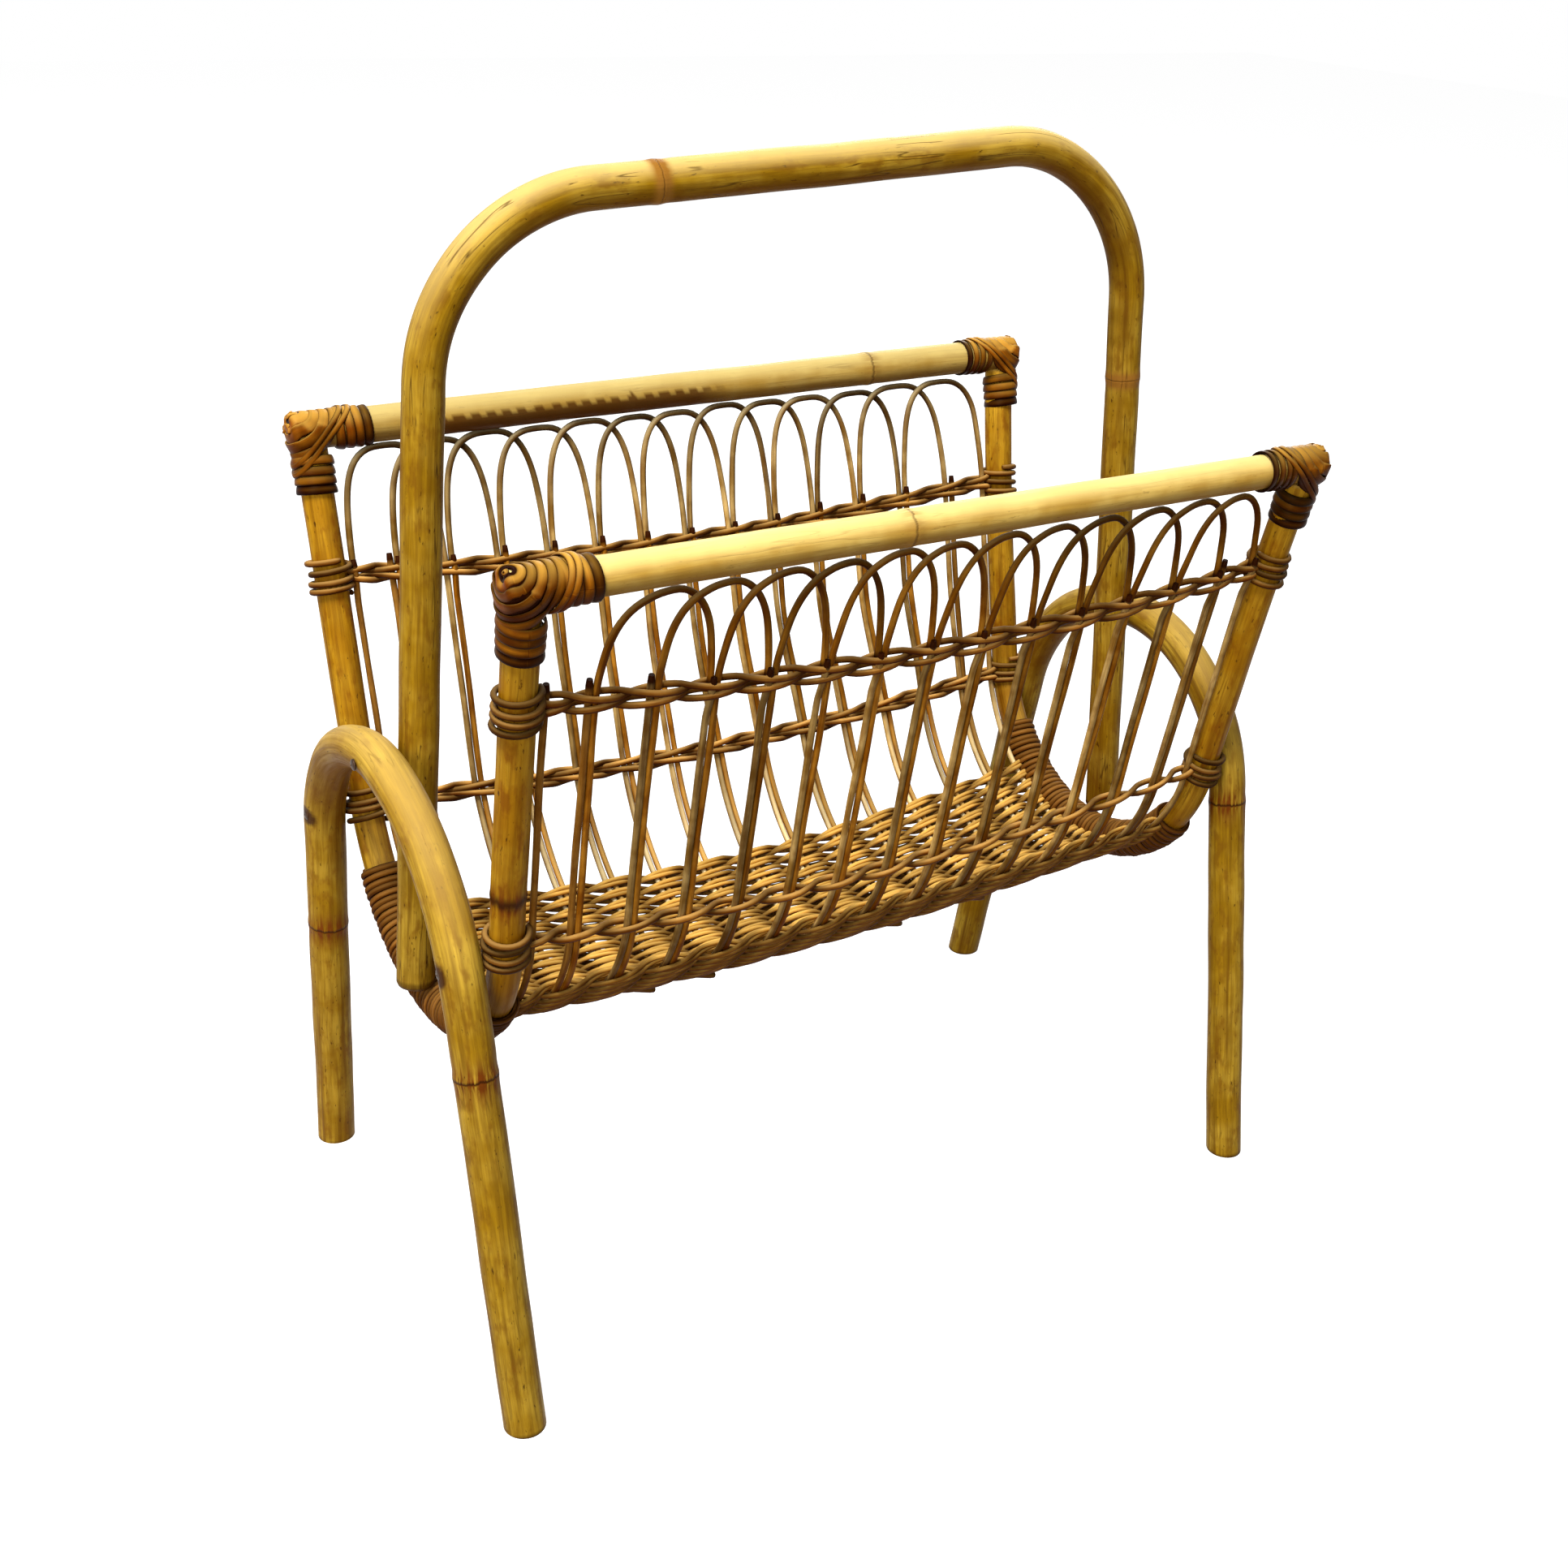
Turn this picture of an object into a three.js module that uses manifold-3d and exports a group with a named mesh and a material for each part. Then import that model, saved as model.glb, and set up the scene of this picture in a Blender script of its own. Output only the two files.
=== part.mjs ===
// A hand-made rattan magazine rack, in millimetres. Its length lies along X, its depth along Y,
// and its four feet stand on Z = 0. Two bent poles make the end frames and two straight rails join
// them. Canes run down one wall, through the woven floor and up the other wall, where most of them
// end in a loop.
import * as THREE from 'three';
import { mergeVertices } from 'three/addons/utils/BufferGeometryUtils.js';
import Module from 'manifold-3d';

const wasm = await Module();
wasm.setup();

// Clearances
const fitGap = 0.3; // between two pieces that touch
const cutOverrun = 8; // how far a cutting tool runs past what it cuts

// Rim and end frames
const frameSpacing = 400; // between the axes of the end frames
const railSpacing = 247; // between the axes of the rails
const rimHeight = 405;
const troughBottomHeight = 157.5; // axis of an end frame at its lowest point
const troughBendRadius = 90;
const railDiameter = 16;
const frameDiameter = 15.4;

// Leg arches
const footSpacing = 262; // front to back, between the axes of the legs at the floor
const footReach = 220; // from the middle of the rack to the axis of a foot
const archCrownHeight = 288;
const archBendRadius = 92;
const archDiameter = 20;

// Carrying handle
const handleHeight = 530.4; // axis of the top bar at its middle
const handleRise = 17; // the hand-bent bar is higher at its right-hand end
const handleTopWidth = 364; // between the axes of the posts, drawn up to the bar
const handleBendRadius = 82;
const handleDiameter = 18;

// Canes
const caneDiameter = 3.2;
const canePitch = 28;
const stakeCount = 13; // places for a pair of canes, not counting the two at the frames
const loopPlaces = 2; // places that one loop spans
const loopFullness = { front: 2.5, back: 3.1 }; // 2 is an ellipse, more is squarer
const loopCrossingGap = 0.6; // between two loops where one passes before the other
const endCaneGap = 2.4; // between an end frame and the cane beside it
const backLean = 6; // how far the canes of the back wall lean to the left at its middle
const backLeanStart = 205; // distances from the back rail between which they lean
const backLeanEnd = 115;
const stubLength = 5; // free end of a cane above the upper band

// Woven bands and floor. Distances run down the wall from the axis of the rail.
const weaverThickness = 2.1;
const floorBelly = 9.5; // how much lower the floor hangs at the middle of the rack
const floorRows = 21; // rows of weaving, each one a ridge
const rowCrest = 2.6; // thickness of the floor's weaving on a row
const rowValley = 1.1; // and between two rows
const bandHeight = 8;
const upperBandFront = { atFrames: 53, atMiddle: 66 };
const upperBandBack = { atFrames: 70, atMiddle: 79 };
const lowerBandFront = { atFrames: 175, atMiddle: 190 };
const lowerBandBack = { atFrames: 184, atMiddle: 194 };
const wrapRise = 9; // how far the turns round a frame reach above their band
const wrapFall = 12; // and below it
const floorWrapStart = 217; // where the floor's turns round the frames begin
const floorEdgeFront = { atFrames: 217, atMiddle: 220 };
const floorEdgeBack = { atFrames: 240, atMiddle: 253 };
const edgeRow = 0.5; // least distance between two rows of faces beside a woven edge

// Peel at the corners of the rim: a cap over the pole ends and a strip wound on both sides of it
const peelThickness = 1.2;
const peelWidth = 3.6;
const bindingReach = 30; // along the rail and down the frame, from the corner
const bindingTurns = 4; // on each side of the corner
const bindingTurnGap = 0.6; // between two turns

// Nails
const nailDiameter = 2;
const nailHeadDiameter = 5.2;
const nailHeadThickness = 1;
const nailGrip = 11; // how deep a nail stands in the far pole
const cornerNailGrip = 15;
const nailTip = 2;
const nailClearance = 3; // from a nail's axis to the nearest turn of a wrap

// Counts of faces
const poleSides = 12;
const caneSides = 5;
const nailSides = 8;
const bendSteps = 12;
const handleBendSteps = 8;
const loopSteps = 8;
const wrapSteps = 12;
const skinSteps = 8;
const searchRounds = 40;

// Sizes that follow from the ones above
const frameX = frameSpacing / 2;
const railRadius = railDiameter / 2;
const frameRadius = frameDiameter / 2;
const archRadius = archDiameter / 2;
const handleRadius = handleDiameter / 2;
const caneRadius = caneDiameter / 2;
const caneStep = caneDiameter + fitGap;
const nailRadius = nailDiameter / 2;
const nailHeadRadius = nailHeadDiameter / 2;
const lastPlace = stakeCount + 1; // the places beside the frames are the first and the last
const endCaneX = frameX - frameRadius - caneRadius - endCaneGap;
const skinEndX = ((stakeCount - 1) * canePitch) / 2 + caneStep;
const wrapEndX = endCaneX - caneStep; // a frame's turns begin inside the cane beside it
const skinInside = caneRadius + fitGap;
const wrapInside = (frameRadius + fitGap) / Math.cos(Math.PI / wrapSteps);
const wrapOutside = wrapInside + weaverThickness;
const holeRadius = (nailRadius + fitGap) / Math.cos(Math.PI / nailSides);
const headPocketRadius = (nailHeadRadius + fitGap) / Math.cos(Math.PI / nailSides);
const peelBore = (railRadius + fitGap) / Math.cos(Math.PI / poleSides);
const bindingPitch = peelWidth + bindingTurnGap;
const bindingStart = bindingReach - peelWidth / 2 - bindingTurns * bindingPitch;

const rattan = { pole: 0xb08a34, rail: 0xd9bf7a, frame: 0xb98d2d };
const cane = { front: 0x7a4a18, back: 0xa87830, plain: 0x8a5a20 };
const woven = { floor: 0xbe8c46, band: 0x8f5a2c };
const peel = 0xa05a1c;
const nailSteel = 0x4a4038;

// A bent pole seen from the end: two straight arms that open from a round bend. Distance runs from
// one arm's mouth to the other's. The bend is a chain of straight steps, so that what is laid on
// it keeps its clearance.
class BentPole {
  constructor(mouthSpacing, mouthHeight, bendHeight, bendRadius) {
    const mouthReach = mouthSpacing / 2;
    this.flip = Math.sign(mouthHeight - bendHeight);
    this.radius = bendRadius;
    this.centreHeight = bendHeight + this.flip * bendRadius;
    const rise = Math.abs(mouthHeight - this.centreHeight);
    const span = Math.hypot(mouthReach, rise);
    this.armLength = Math.sqrt(span ** 2 - bendRadius ** 2);
    this.lean = Math.atan2(rise, mouthReach) - Math.acos(bendRadius / span);
    this.bendAngle = Math.PI + 2 * this.lean;
    this.stepLength = (this.bendAngle * bendRadius) / bendSteps;
    this.length = 2 * this.armLength + bendSteps * this.stepLength;
  }

  // Place and outward direction at the start of a step of the bend
  station(step) {
    const angle = Math.PI - this.lean + (this.bendAngle * step) / bendSteps;
    const out = new THREE.Vector2(Math.cos(angle), Math.sin(angle));
    return { place: out.clone().multiplyScalar(this.radius), out };
  }

  stepAt(distance) {
    const steps = (distance - this.armLength) / this.stepLength;
    const before = Math.min(Math.max(Math.floor(steps), 0), bendSteps - 1);
    return { before, share: Math.min(Math.max(steps - before, 0), 1) };
  }

  // How deep in the bend a distance lies: 0 at its ends, 1 at its middle
  depthShare(distance) {
    const { before, share } = this.stepAt(distance);
    const depths = [before, before + 1].map((step) => Math.sin((Math.PI * step) / bendSteps) ** 2);
    return depths[0] * (1 - share) + depths[1] * share;
  }

  at(distance, offset = 0) {
    const { before, share } = this.stepAt(distance);
    const from = this.station(before);
    const to = this.station(before + 1);
    const place = from.place.lerp(to.place, share).addScaledVector(from.out.lerp(to.out, share), offset);
    const along = new THREE.Vector2(-Math.sin(Math.PI - this.lean), Math.cos(Math.PI - this.lean));
    const arm = Math.min(distance - this.armLength, 0);
    const farArm = Math.max(distance - this.length + this.armLength, 0);
    place.x += along.x * (arm + farArm);
    place.y += along.y * (arm - farArm);
    return new THREE.Vector2(place.x, this.centreHeight + this.flip * place.y);
  }

  // Distance along the pole of each step of its bend
  bendDistances() {
    return Array.from({ length: bendSteps + 1 }, (_, step) => this.armLength + step * this.stepLength);
  }
}

const trough = new BentPole(railSpacing, rimHeight, troughBottomHeight, troughBendRadius);
const arch = new BentPole(footSpacing, 0, archCrownHeight, archBendRadius);
const armDown = new THREE.Vector3(0, Math.sin(-trough.lean), -Math.cos(trough.lean));

// How far a place on the wall lies to the left of its place in the floor
function leanAt(x, distance) {
  const up = (trough.length - distance - backLeanStart) / (backLeanEnd - backLeanStart);
  const side = x / wrapEndX;
  return backLean * THREE.MathUtils.smoothstep(up, 0, 1) * Math.max(1 - side ** 2, 0) * (1 + side) ** 2;
}

// A point on the wall of the trough. Distance runs from the front rail to the back rail. The
// bottom hangs lower between the end frames, and the back wall leans.
function wallPoint(x, distance, offset = 0) {
  const belly = floorBelly * Math.max(1 - (x / wrapEndX) ** 2, 0) * trough.depthShare(distance);
  const { x: y, y: z } = trough.at(distance, offset + belly);
  return new THREE.Vector3(x - leanAt(x, distance), y, z);
}

// Distance along the wall for a distance measured from one of the two rails
function fromRail(side, distance) {
  return side === 'front' ? distance : trough.length - distance;
}

function sag(line, x) {
  return line.atMiddle + (line.atFrames - line.atMiddle) * (x / frameX) ** 2;
}

// Where a leg and an arm of the end frame cross, seen from the end
function findCrossing() {
  let above = 0;
  let below = trough.length / 2;
  for (let round = 0; round < searchRounds; round += 1) {
    const middle = (above + below) / 2;
    const point = trough.at(middle);
    if (Math.abs(point.x) > archHalfWidth(point.y)) above = middle;
    else below = middle;
  }
  return above;
}

function archHalfWidth(height) {
  let low = 0;
  let high = arch.length / 2;
  if (height >= arch.at(high).y) return 0;
  for (let round = 0; round < searchRounds; round += 1) {
    const middle = (low + high) / 2;
    if (arch.at(middle).y < height) low = middle;
    else high = middle;
  }
  return Math.abs(arch.at(low).x);
}

const crossingDistance = findCrossing();
const crossing = trough.at(crossingDistance);
const crossingX = frameX + wrapOutside + fitGap + archRadius;
const archSplay = (footReach - crossingX) / crossing.y;

function archX(height) {
  return footReach - archSplay * height;
}

// A chain of straight pieces, one ring of a rod at each of its points
class RodLine extends THREE.Curve {
  constructor(points) {
    super();
    this.points = points;
  }

  getPoint(share, target = new THREE.Vector3()) {
    const place = share * (this.points.length - 1);
    const before = Math.min(Math.floor(place), this.points.length - 2);
    return target.lerpVectors(this.points[before], this.points[before + 1], place - before);
  }

  getPointAt(share, target) {
    return this.getPoint(share, target);
  }

  getTangentAt(share, target = new THREE.Vector3()) {
    const last = this.points.length - 1;
    const here = Math.round(share * last);
    const point = this.points[here];
    const before = this.points[Math.max(here - 1, 0)].clone().sub(point).normalize();
    const after = this.points[Math.min(here + 1, last)].clone().sub(point).normalize();
    return target.copy(after).sub(before).normalize();
  }
}

function roundSection(radius, sides) {
  const corners = Array.from({ length: sides }, (_, index) => {
    const angle = (2 * Math.PI * index) / sides;
    return new THREE.Vector2(radius * Math.cos(angle), radius * Math.sin(angle));
  });
  return new THREE.Shape(corners);
}

function rod(points, radius, sides) {
  return new THREE.ExtrudeGeometry(roundSection(radius, sides), {
    steps: points.length - 1,
    extrudePath: new RodLine(points),
  });
}

function toSolid(geometry) {
  const bare = geometry.clone();
  bare.deleteAttribute('normal');
  bare.deleteAttribute('uv');
  const merged = mergeVertices(bare);
  return new wasm.Manifold(new wasm.Mesh({
    numProp: 3,
    vertProperties: new Float32Array(merged.attributes.position.array),
    triVerts: new Uint32Array(merged.index.array),
  }));
}

function toGeometry(solid) {
  const mesh = solid.getMesh();
  const geometry = new THREE.BufferGeometry();
  geometry.setAttribute('position', new THREE.BufferAttribute(mesh.vertProperties, 3));
  geometry.setIndex(new THREE.BufferAttribute(mesh.triVerts, 1));
  geometry.computeVertexNormals();
  return geometry;
}

// A straight peg from one point along a direction
function peg(start, direction, length, radius, sides) {
  const geometry = new THREE.CylinderGeometry(radius, radius, length, sides);
  geometry.translate(0, length / 2, 0);
  const turn = new THREE.Quaternion().setFromUnitVectors(new THREE.Vector3(0, 1, 0), direction);
  geometry.applyQuaternion(turn);
  return geometry.translate(start.x, start.y, start.z);
}

function drilled(geometry, pegs) {
  const solid = pegs.reduce((rest, hole) => rest.subtract(toSolid(hole)), toSolid(geometry));
  return toGeometry(solid);
}

// A nail points along its direction, and its start is the underside of its head
function nailLine(start, direction, length) {
  return { start, direction: direction.clone().normalize(), length };
}

function nailHole({ start, direction, length }) {
  const begin = start.clone().addScaledVector(direction, -cutOverrun);
  return peg(begin, direction, length + nailTip + fitGap + cutOverrun, holeRadius, nailSides);
}

function nailGeometry({ start, direction, length }) {
  const profile = [
    [0, -nailHeadThickness],
    [nailHeadRadius, -nailHeadThickness],
    [nailHeadRadius, 0],
    [nailRadius, 0],
    [nailRadius, length],
    [0, length + nailTip],
  ].map(([x, y]) => new THREE.Vector2(x, y));
  const geometry = new THREE.LatheGeometry(profile, nailSides);
  const turn = new THREE.Quaternion().setFromUnitVectors(new THREE.Vector3(0, 1, 0), direction);
  geometry.applyQuaternion(turn);
  return geometry.translate(start.x, start.y, start.z);
}

const rack = new THREE.Group();

function addPiece(name, geometry, color, roughness = 0.6, metalness = 0) {
  const mesh = new THREE.Mesh(geometry, new THREE.MeshStandardMaterial({ color, roughness, metalness }));
  mesh.name = name;
  rack.add(mesh);
}

const ends = [{ end: 'left', way: -1 }, { end: 'right', way: 1 }];
const walls = ['front', 'back'];

function sideOf(wall) {
  return wall === 'front' ? -1 : 1;
}

// Nails through each leg arch: two into the frame's arms and one into the handle's post
function archNails(way) {
  const inward = new THREE.Vector3(-way, 0, 0);
  const throughArch = archDiameter + wrapOutside - frameRadius + 2 * fitGap;
  const frameNails = walls.map((wall) => {
    const x = way * (archX(crossing.y) + archRadius + fitGap);
    const start = new THREE.Vector3(x, sideOf(wall) * Math.abs(crossing.x), crossing.y);
    return nailLine(start, inward, throughArch + nailGrip);
  });
  const crownX = way * (archX(archCrownHeight) + archRadius + fitGap);
  const crownStart = new THREE.Vector3(crownX, 0, archCrownHeight);
  return { frameNails, crownNail: nailLine(crownStart, inward, archDiameter + 2 * fitGap + nailGrip) };
}

function cornerNail(way, wall) {
  const down = new THREE.Vector3(0, -sideOf(wall) * Math.abs(armDown.y), armDown.z);
  const start = new THREE.Vector3(way * frameX, (sideOf(wall) * railSpacing) / 2, rimHeight)
    .addScaledVector(down, -railRadius + nailHeadThickness);
  return nailLine(start, down, railDiameter - nailHeadThickness + fitGap + cornerNailGrip);
}

function makeLegArch(way) {
  const distances = [-cutOverrun, ...arch.bendDistances(), arch.length + cutOverrun];
  const points = distances.map((distance) => {
    const { x: y, y: z } = arch.at(distance);
    return new THREE.Vector3(way * archX(z), y, z);
  });
  const { frameNails, crownNail } = archNails(way);
  const holes = [...frameNails, crownNail].map(nailHole);
  const ground = new THREE.BoxGeometry(2 * footSpacing, 2 * footSpacing, 2 * archDiameter);
  ground.translate(way * footReach, 0, -archDiameter);
  return drilled(rod(points, archRadius, poleSides), [ground, ...holes]);
}

function makeEndFrame(way) {
  const armStart = railRadius + fitGap;
  const distances = [armStart, ...trough.bendDistances(), trough.length - armStart];
  const points = distances.map((distance) => wallPoint(way * frameX, distance));
  const holes = [...archNails(way).frameNails, ...walls.map((wall) => cornerNail(way, wall))].map(nailHole);
  return drilled(rod(points, frameRadius, poleSides), holes);
}

function makeRail(wall) {
  const rim = wallPoint(0, fromRail(wall, 0));
  const reach = frameX + frameRadius;
  const points = [new THREE.Vector3(-reach, rim.y, rim.z), new THREE.Vector3(reach, rim.y, rim.z)];
  const holes = ends.flatMap(({ way }) => {
    const nail = cornerNail(way, wall);
    const pocketLength = nailHeadThickness + fitGap + cutOverrun;
    const pocketStart = nail.start.clone().addScaledVector(nail.direction, fitGap);
    return [
      nailHole(nail),
      peg(pocketStart, nail.direction.clone().negate(), pocketLength, headPocketRadius, nailSides),
    ];
  });
  return drilled(rod(points, railRadius, poleSides), holes);
}

// The handle stands on the wrapped bottom of each end frame and leans in against the arch's crown
function makeHandle() {
  const postAtCrown = archX(archCrownHeight) - archRadius - handleRadius - fitGap;
  const seatHeight = troughBottomHeight + wrapInside + rowCrest + 2 * fitGap;
  const corner = (way) => {
    const height = handleHeight + (way * handleRise) / 2;
    return new THREE.Vector3((way * handleTopWidth) / 2, 0, height);
  };
  const foot = (way) => {
    const top = corner(way);
    const share = (top.z - seatHeight + cutOverrun) / (top.z - archCrownHeight);
    return top.lerp(new THREE.Vector3(way * postAtCrown, 0, archCrownHeight), share);
  };
  const bend = (way, from, to) => {
    const top = corner(way);
    const into = from.clone().sub(top).normalize();
    const outOf = to.clone().sub(top).normalize();
    const half = into.angleTo(outOf) / 2;
    const setback = handleBendRadius / Math.tan(half);
    const middle = into.clone().add(outOf).normalize();
    const centre = top.clone().addScaledVector(middle, handleBendRadius / Math.sin(half));
    const first = top.clone().addScaledVector(into, setback).sub(centre);
    const sweep = Math.PI - 2 * half;
    const axis = first.clone().cross(middle.clone().negate()).normalize();
    return Array.from({ length: handleBendSteps + 1 }, (_, step) => (
      first.clone().applyAxisAngle(axis, (sweep * step) / handleBendSteps).add(centre)));
  };
  const points = [
    foot(-1),
    ...bend(-1, foot(-1), corner(1)),
    ...bend(1, corner(-1), foot(1)),
    foot(1),
  ];
  const holes = ends.map(({ way }) => nailHole(archNails(way).crownNail));
  const seat = new THREE.BoxGeometry(2 * (footReach + cutOverrun), 2 * handleDiameter, 2 * cutOverrun);
  seat.translate(0, 0, seatHeight - cutOverrun);
  return drilled(rod(points, handleRadius, poleSides), [seat, ...holes]);
}

// The corner of the rim: its point, and the directions along the rail, down the arm and off the wall
function rimCorner(way, wall) {
  const point = wallPoint(way * frameX, fromRail(wall, 0));
  return {
    point,
    inward: new THREE.Vector3(-way, 0, 0),
    down: cornerNail(way, wall).direction,
    off: wallPoint(way * frameX, fromRail(wall, 0), railRadius).sub(point).normalize(),
  };
}

// Peel laid over the end of the rail and the top of the arm, open towards the inside of the corner
function makeCornerCap(way, wall) {
  const { point, inward, down } = rimCorner(way, wall);
  const reach = bindingStart - peelWidth / 2 - fitGap;
  const back = frameRadius + fitGap;
  const sleeve = (direction, radius, start, end) => (
    toSolid(peg(point.clone().addScaledVector(direction, start), direction, end - start, radius, poleSides)));
  const outer = sleeve(inward, peelBore + peelThickness, -back - peelThickness, reach)
    .add(sleeve(down, peelBore + peelThickness, 0, reach));
  const inner = sleeve(inward, peelBore, -back, reach + cutOverrun)
    .add(sleeve(down, peelBore, 0, reach + cutOverrun));
  const inside = inward.clone().add(down).normalize();
  const opening = sleeve(inside, bindingReach, reach / 2, bindingReach);
  return toGeometry(outer.subtract(inner).subtract(opening));
}

// One strip of peel binds a corner. It winds along the rail to the cap, crosses over the cap's outer
// side, and winds down the arm. Each station has its place, the direction off the pole and the
// direction across the strip.
function bindingStations(way, wall) {
  const { point, inward, down, off } = rimCorner(way, wall);
  const radius = peelBore + peelThickness / 2;
  const windOn = (axis, other) => Array.from({ length: bindingTurns * poleSides }, (_, index) => {
    const turns = (index + 1) / poleSides;
    const out = off.clone().multiplyScalar(Math.cos(2 * Math.PI * turns));
    out.addScaledVector(other, -Math.sin(2 * Math.PI * turns));
    const place = point.clone().addScaledVector(axis, bindingStart + turns * bindingPitch);
    return { place: place.addScaledVector(out, radius), out, across: axis };
  });
  const diagonal = inward.clone().add(down).normalize();
  const crossOn = (axis) => {
    const place = point.clone().addScaledVector(axis, bindingStart);
    place.addScaledVector(off, radius + peelThickness + fitGap);
    const across = axis.clone().add(diagonal).divideScalar(1 + axis.dot(diagonal));
    return { place, out: off, across };
  };
  const stations = [
    ...windOn(inward, down).reverse(),
    crossOn(inward),
    crossOn(down),
    ...windOn(down, inward),
  ];
  const [first, second] = stations;
  const along = second.place.clone().sub(first.place);
  return along.dot(first.across.clone().cross(first.out)) < 0 ? stations.reverse() : stations;
}

function stripCorner({ place, out, across }, acrossShare, outShare) {
  return place.clone()
    .addScaledVector(across, acrossShare * peelWidth)
    .addScaledVector(out, outShare * peelThickness);
}

function makeBinding(stations) {
  const steps = stations.length - 1;
  const geometry = new THREE.BoxGeometry(1, 1, 1, 1, 1, steps);
  const places = geometry.attributes.position;
  for (let index = 0; index < places.count; index += 1) {
    const station = stations[Math.round((places.getZ(index) + 0.5) * steps)];
    const corner = stripCorner(station, places.getX(index), places.getY(index));
    places.setXYZ(index, corner.x, corner.y, corner.z);
  }
  return geometry;
}

// Least distance between the corners of one turn and those of the next
function leastTurnGap(stations) {
  const cornerShares = [[0.5, 0.5], [0.5, -0.5], [-0.5, 0.5], [-0.5, -0.5]];
  const corners = stations.map((station) => cornerShares.map((shares) => stripCorner(station, ...shares)));
  let least = Infinity;
  for (let here = 0; here < corners.length; here += 1) {
    for (let there = here + poleSides / 2; there < corners.length; there += 1) {
      for (const from of corners[here]) {
        for (const to of corners[there]) least = Math.min(least, from.distanceTo(to));
      }
    }
  }
  return least;
}

function isBesideFrame(x) {
  return Math.abs(x) > (skinEndX + wrapEndX) / 2;
}

// Section of a woven sleeve, cut square to the wall: two skins with the canes between them, ending
// in a turn round each frame
function sleeveOutline(wrapRadius, skinOffset) {
  const mouth = Math.asin(skinOffset / wrapRadius);
  const inner = Array.from({ length: skinSteps + 1 }, (_, step) => skinEndX * (1 - (2 * step) / skinSteps));
  const points = [];
  for (const way of [1, -1]) {
    for (let step = 0; step <= wrapSteps; step += 1) {
      const angle = mouth - Math.PI + ((2 * Math.PI - 2 * mouth) * step) / wrapSteps;
      const x = frameX + wrapRadius * Math.cos(angle);
      points.push(new THREE.Vector2(way * x, way * wrapRadius * Math.sin(angle)));
    }
    for (const x of [wrapEndX, ...inner, -wrapEndX]) {
      points.push(new THREE.Vector2(way * x, way * skinOffset));
    }
  }
  return points;
}

// Bends a ring of faces into a sleeve on the wall. The edge lines give its first and last distance
// along the wall at each x. Its faces follow the steps of the bend, and on the outer side of a
// sleeve with weave rows they rise and fall with each row.
function wovenSleeve(edgeLines, weaveRows = 0) {
  const outline = (thickness) => sleeveOutline(wrapInside + thickness, skinInside + thickness);
  const inner = outline(0);
  const columns = inner.length;
  const edgesAt = (x) => edgeLines(x, isBesideFrame(x));
  const edges = inner.map(({ x }) => edgesAt(x));
  const start = Math.min(...edges.map(([first]) => first));
  const end = Math.max(...edges.map(([, last]) => last));
  const bends = trough.bendDistances().filter((distance) => distance > start && distance < end);
  const steps = bends.length + 1;
  const onBend = (step) => (x) => {
    const [first, last] = edgesAt(x);
    const wanted = Math.max([first, ...bends, last][step], first + step * edgeRow);
    return Math.min(wanted, last - (steps - step) * edgeRow);
  };
  const onRow = (half) => (x) => {
    const [first, last] = edgesAt(x);
    return first + ((last - first) * half) / (2 * weaveRows);
  };
  const rings = [];
  for (let half = 0; weaveRows && half <= 2 * weaveRows; half += 1) {
    rings.push({ points: outline(half % 2 ? rowCrest : rowValley), distanceAt: onRow(half) });
  }
  for (let step = 0; !weaveRows && step <= steps; step += 1) {
    rings.push({ points: outline(weaverThickness), distanceAt: onBend(step) });
  }
  for (let step = steps; step >= 0; step -= 1) {
    rings.push({ points: inner, distanceAt: onBend(step) });
  }
  const geometry = new THREE.TorusGeometry(undefined, undefined, rings.length, columns);
  const places = geometry.attributes.position;
  for (let index = 0; index < places.count; index += 1) {
    const { points, distanceAt } = rings[Math.floor(index / (columns + 1)) % rings.length];
    const { x, y: offset } = points[(index % (columns + 1)) % columns];
    const point = wallPoint(x, distanceAt(x), offset);
    places.setXYZ(index, point.x, point.y, point.z);
  }
  return geometry;
}

function bandTop(line, x) {
  return isBesideFrame(x) ? line.atFrames - wrapRise : sag(line, x) - bandHeight / 2;
}

function makeBand(line, wall, wrapLimit) {
  const half = bandHeight / 2;
  return wovenSleeve((x, onFrame) => {
    const top = bandTop(line, x);
    const bottom = onFrame ? Math.min(line.atFrames + wrapFall, wrapLimit) : sag(line, x) + half;
    return wall === 'front' ? [top, bottom] : [trough.length - bottom, trough.length - top];
  });
}

function makeFloor() {
  return wovenSleeve((x, onFrame) => (onFrame
    ? [floorWrapStart, trough.length - floorWrapStart]
    : [sag(floorEdgeFront, x), trough.length - sag(floorEdgeBack, x)]), floorRows);
}

// Which way along X the loops of a wall run
function loopWay(wall) {
  return -sideOf(wall);
}

function otherWall(wall) {
  return walls.find((name) => name !== wall);
}

// Places of the pairs of canes, from the left frame to the right one
function placeX(place) {
  if (place === 0) return -endCaneX;
  if (place === lastPlace) return endCaneX;
  return (place - lastPlace / 2) * canePitch;
}

// The cane with its loop in front stands right of its place, and its partner left of it
function caneX(place, wall) {
  if (place === 0 || place === lastPlace) return placeX(place);
  return placeX(place) + (loopWay(wall) * caneStep) / 2;
}

function upperBand(wall) {
  return wall === 'front' ? upperBandFront : upperBandBack;
}

// Places where the loops of a wall start
const loopStarts = {
  front: { first: 1, last: lastPlace - loopPlaces },
  back: { first: loopPlaces, last: lastPlace },
};

function loopEndsAt(place, wall) {
  const start = place - loopWay(wall) * loopPlaces;
  return start >= loopStarts[wall].first && start <= loopStarts[wall].last;
}

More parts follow.
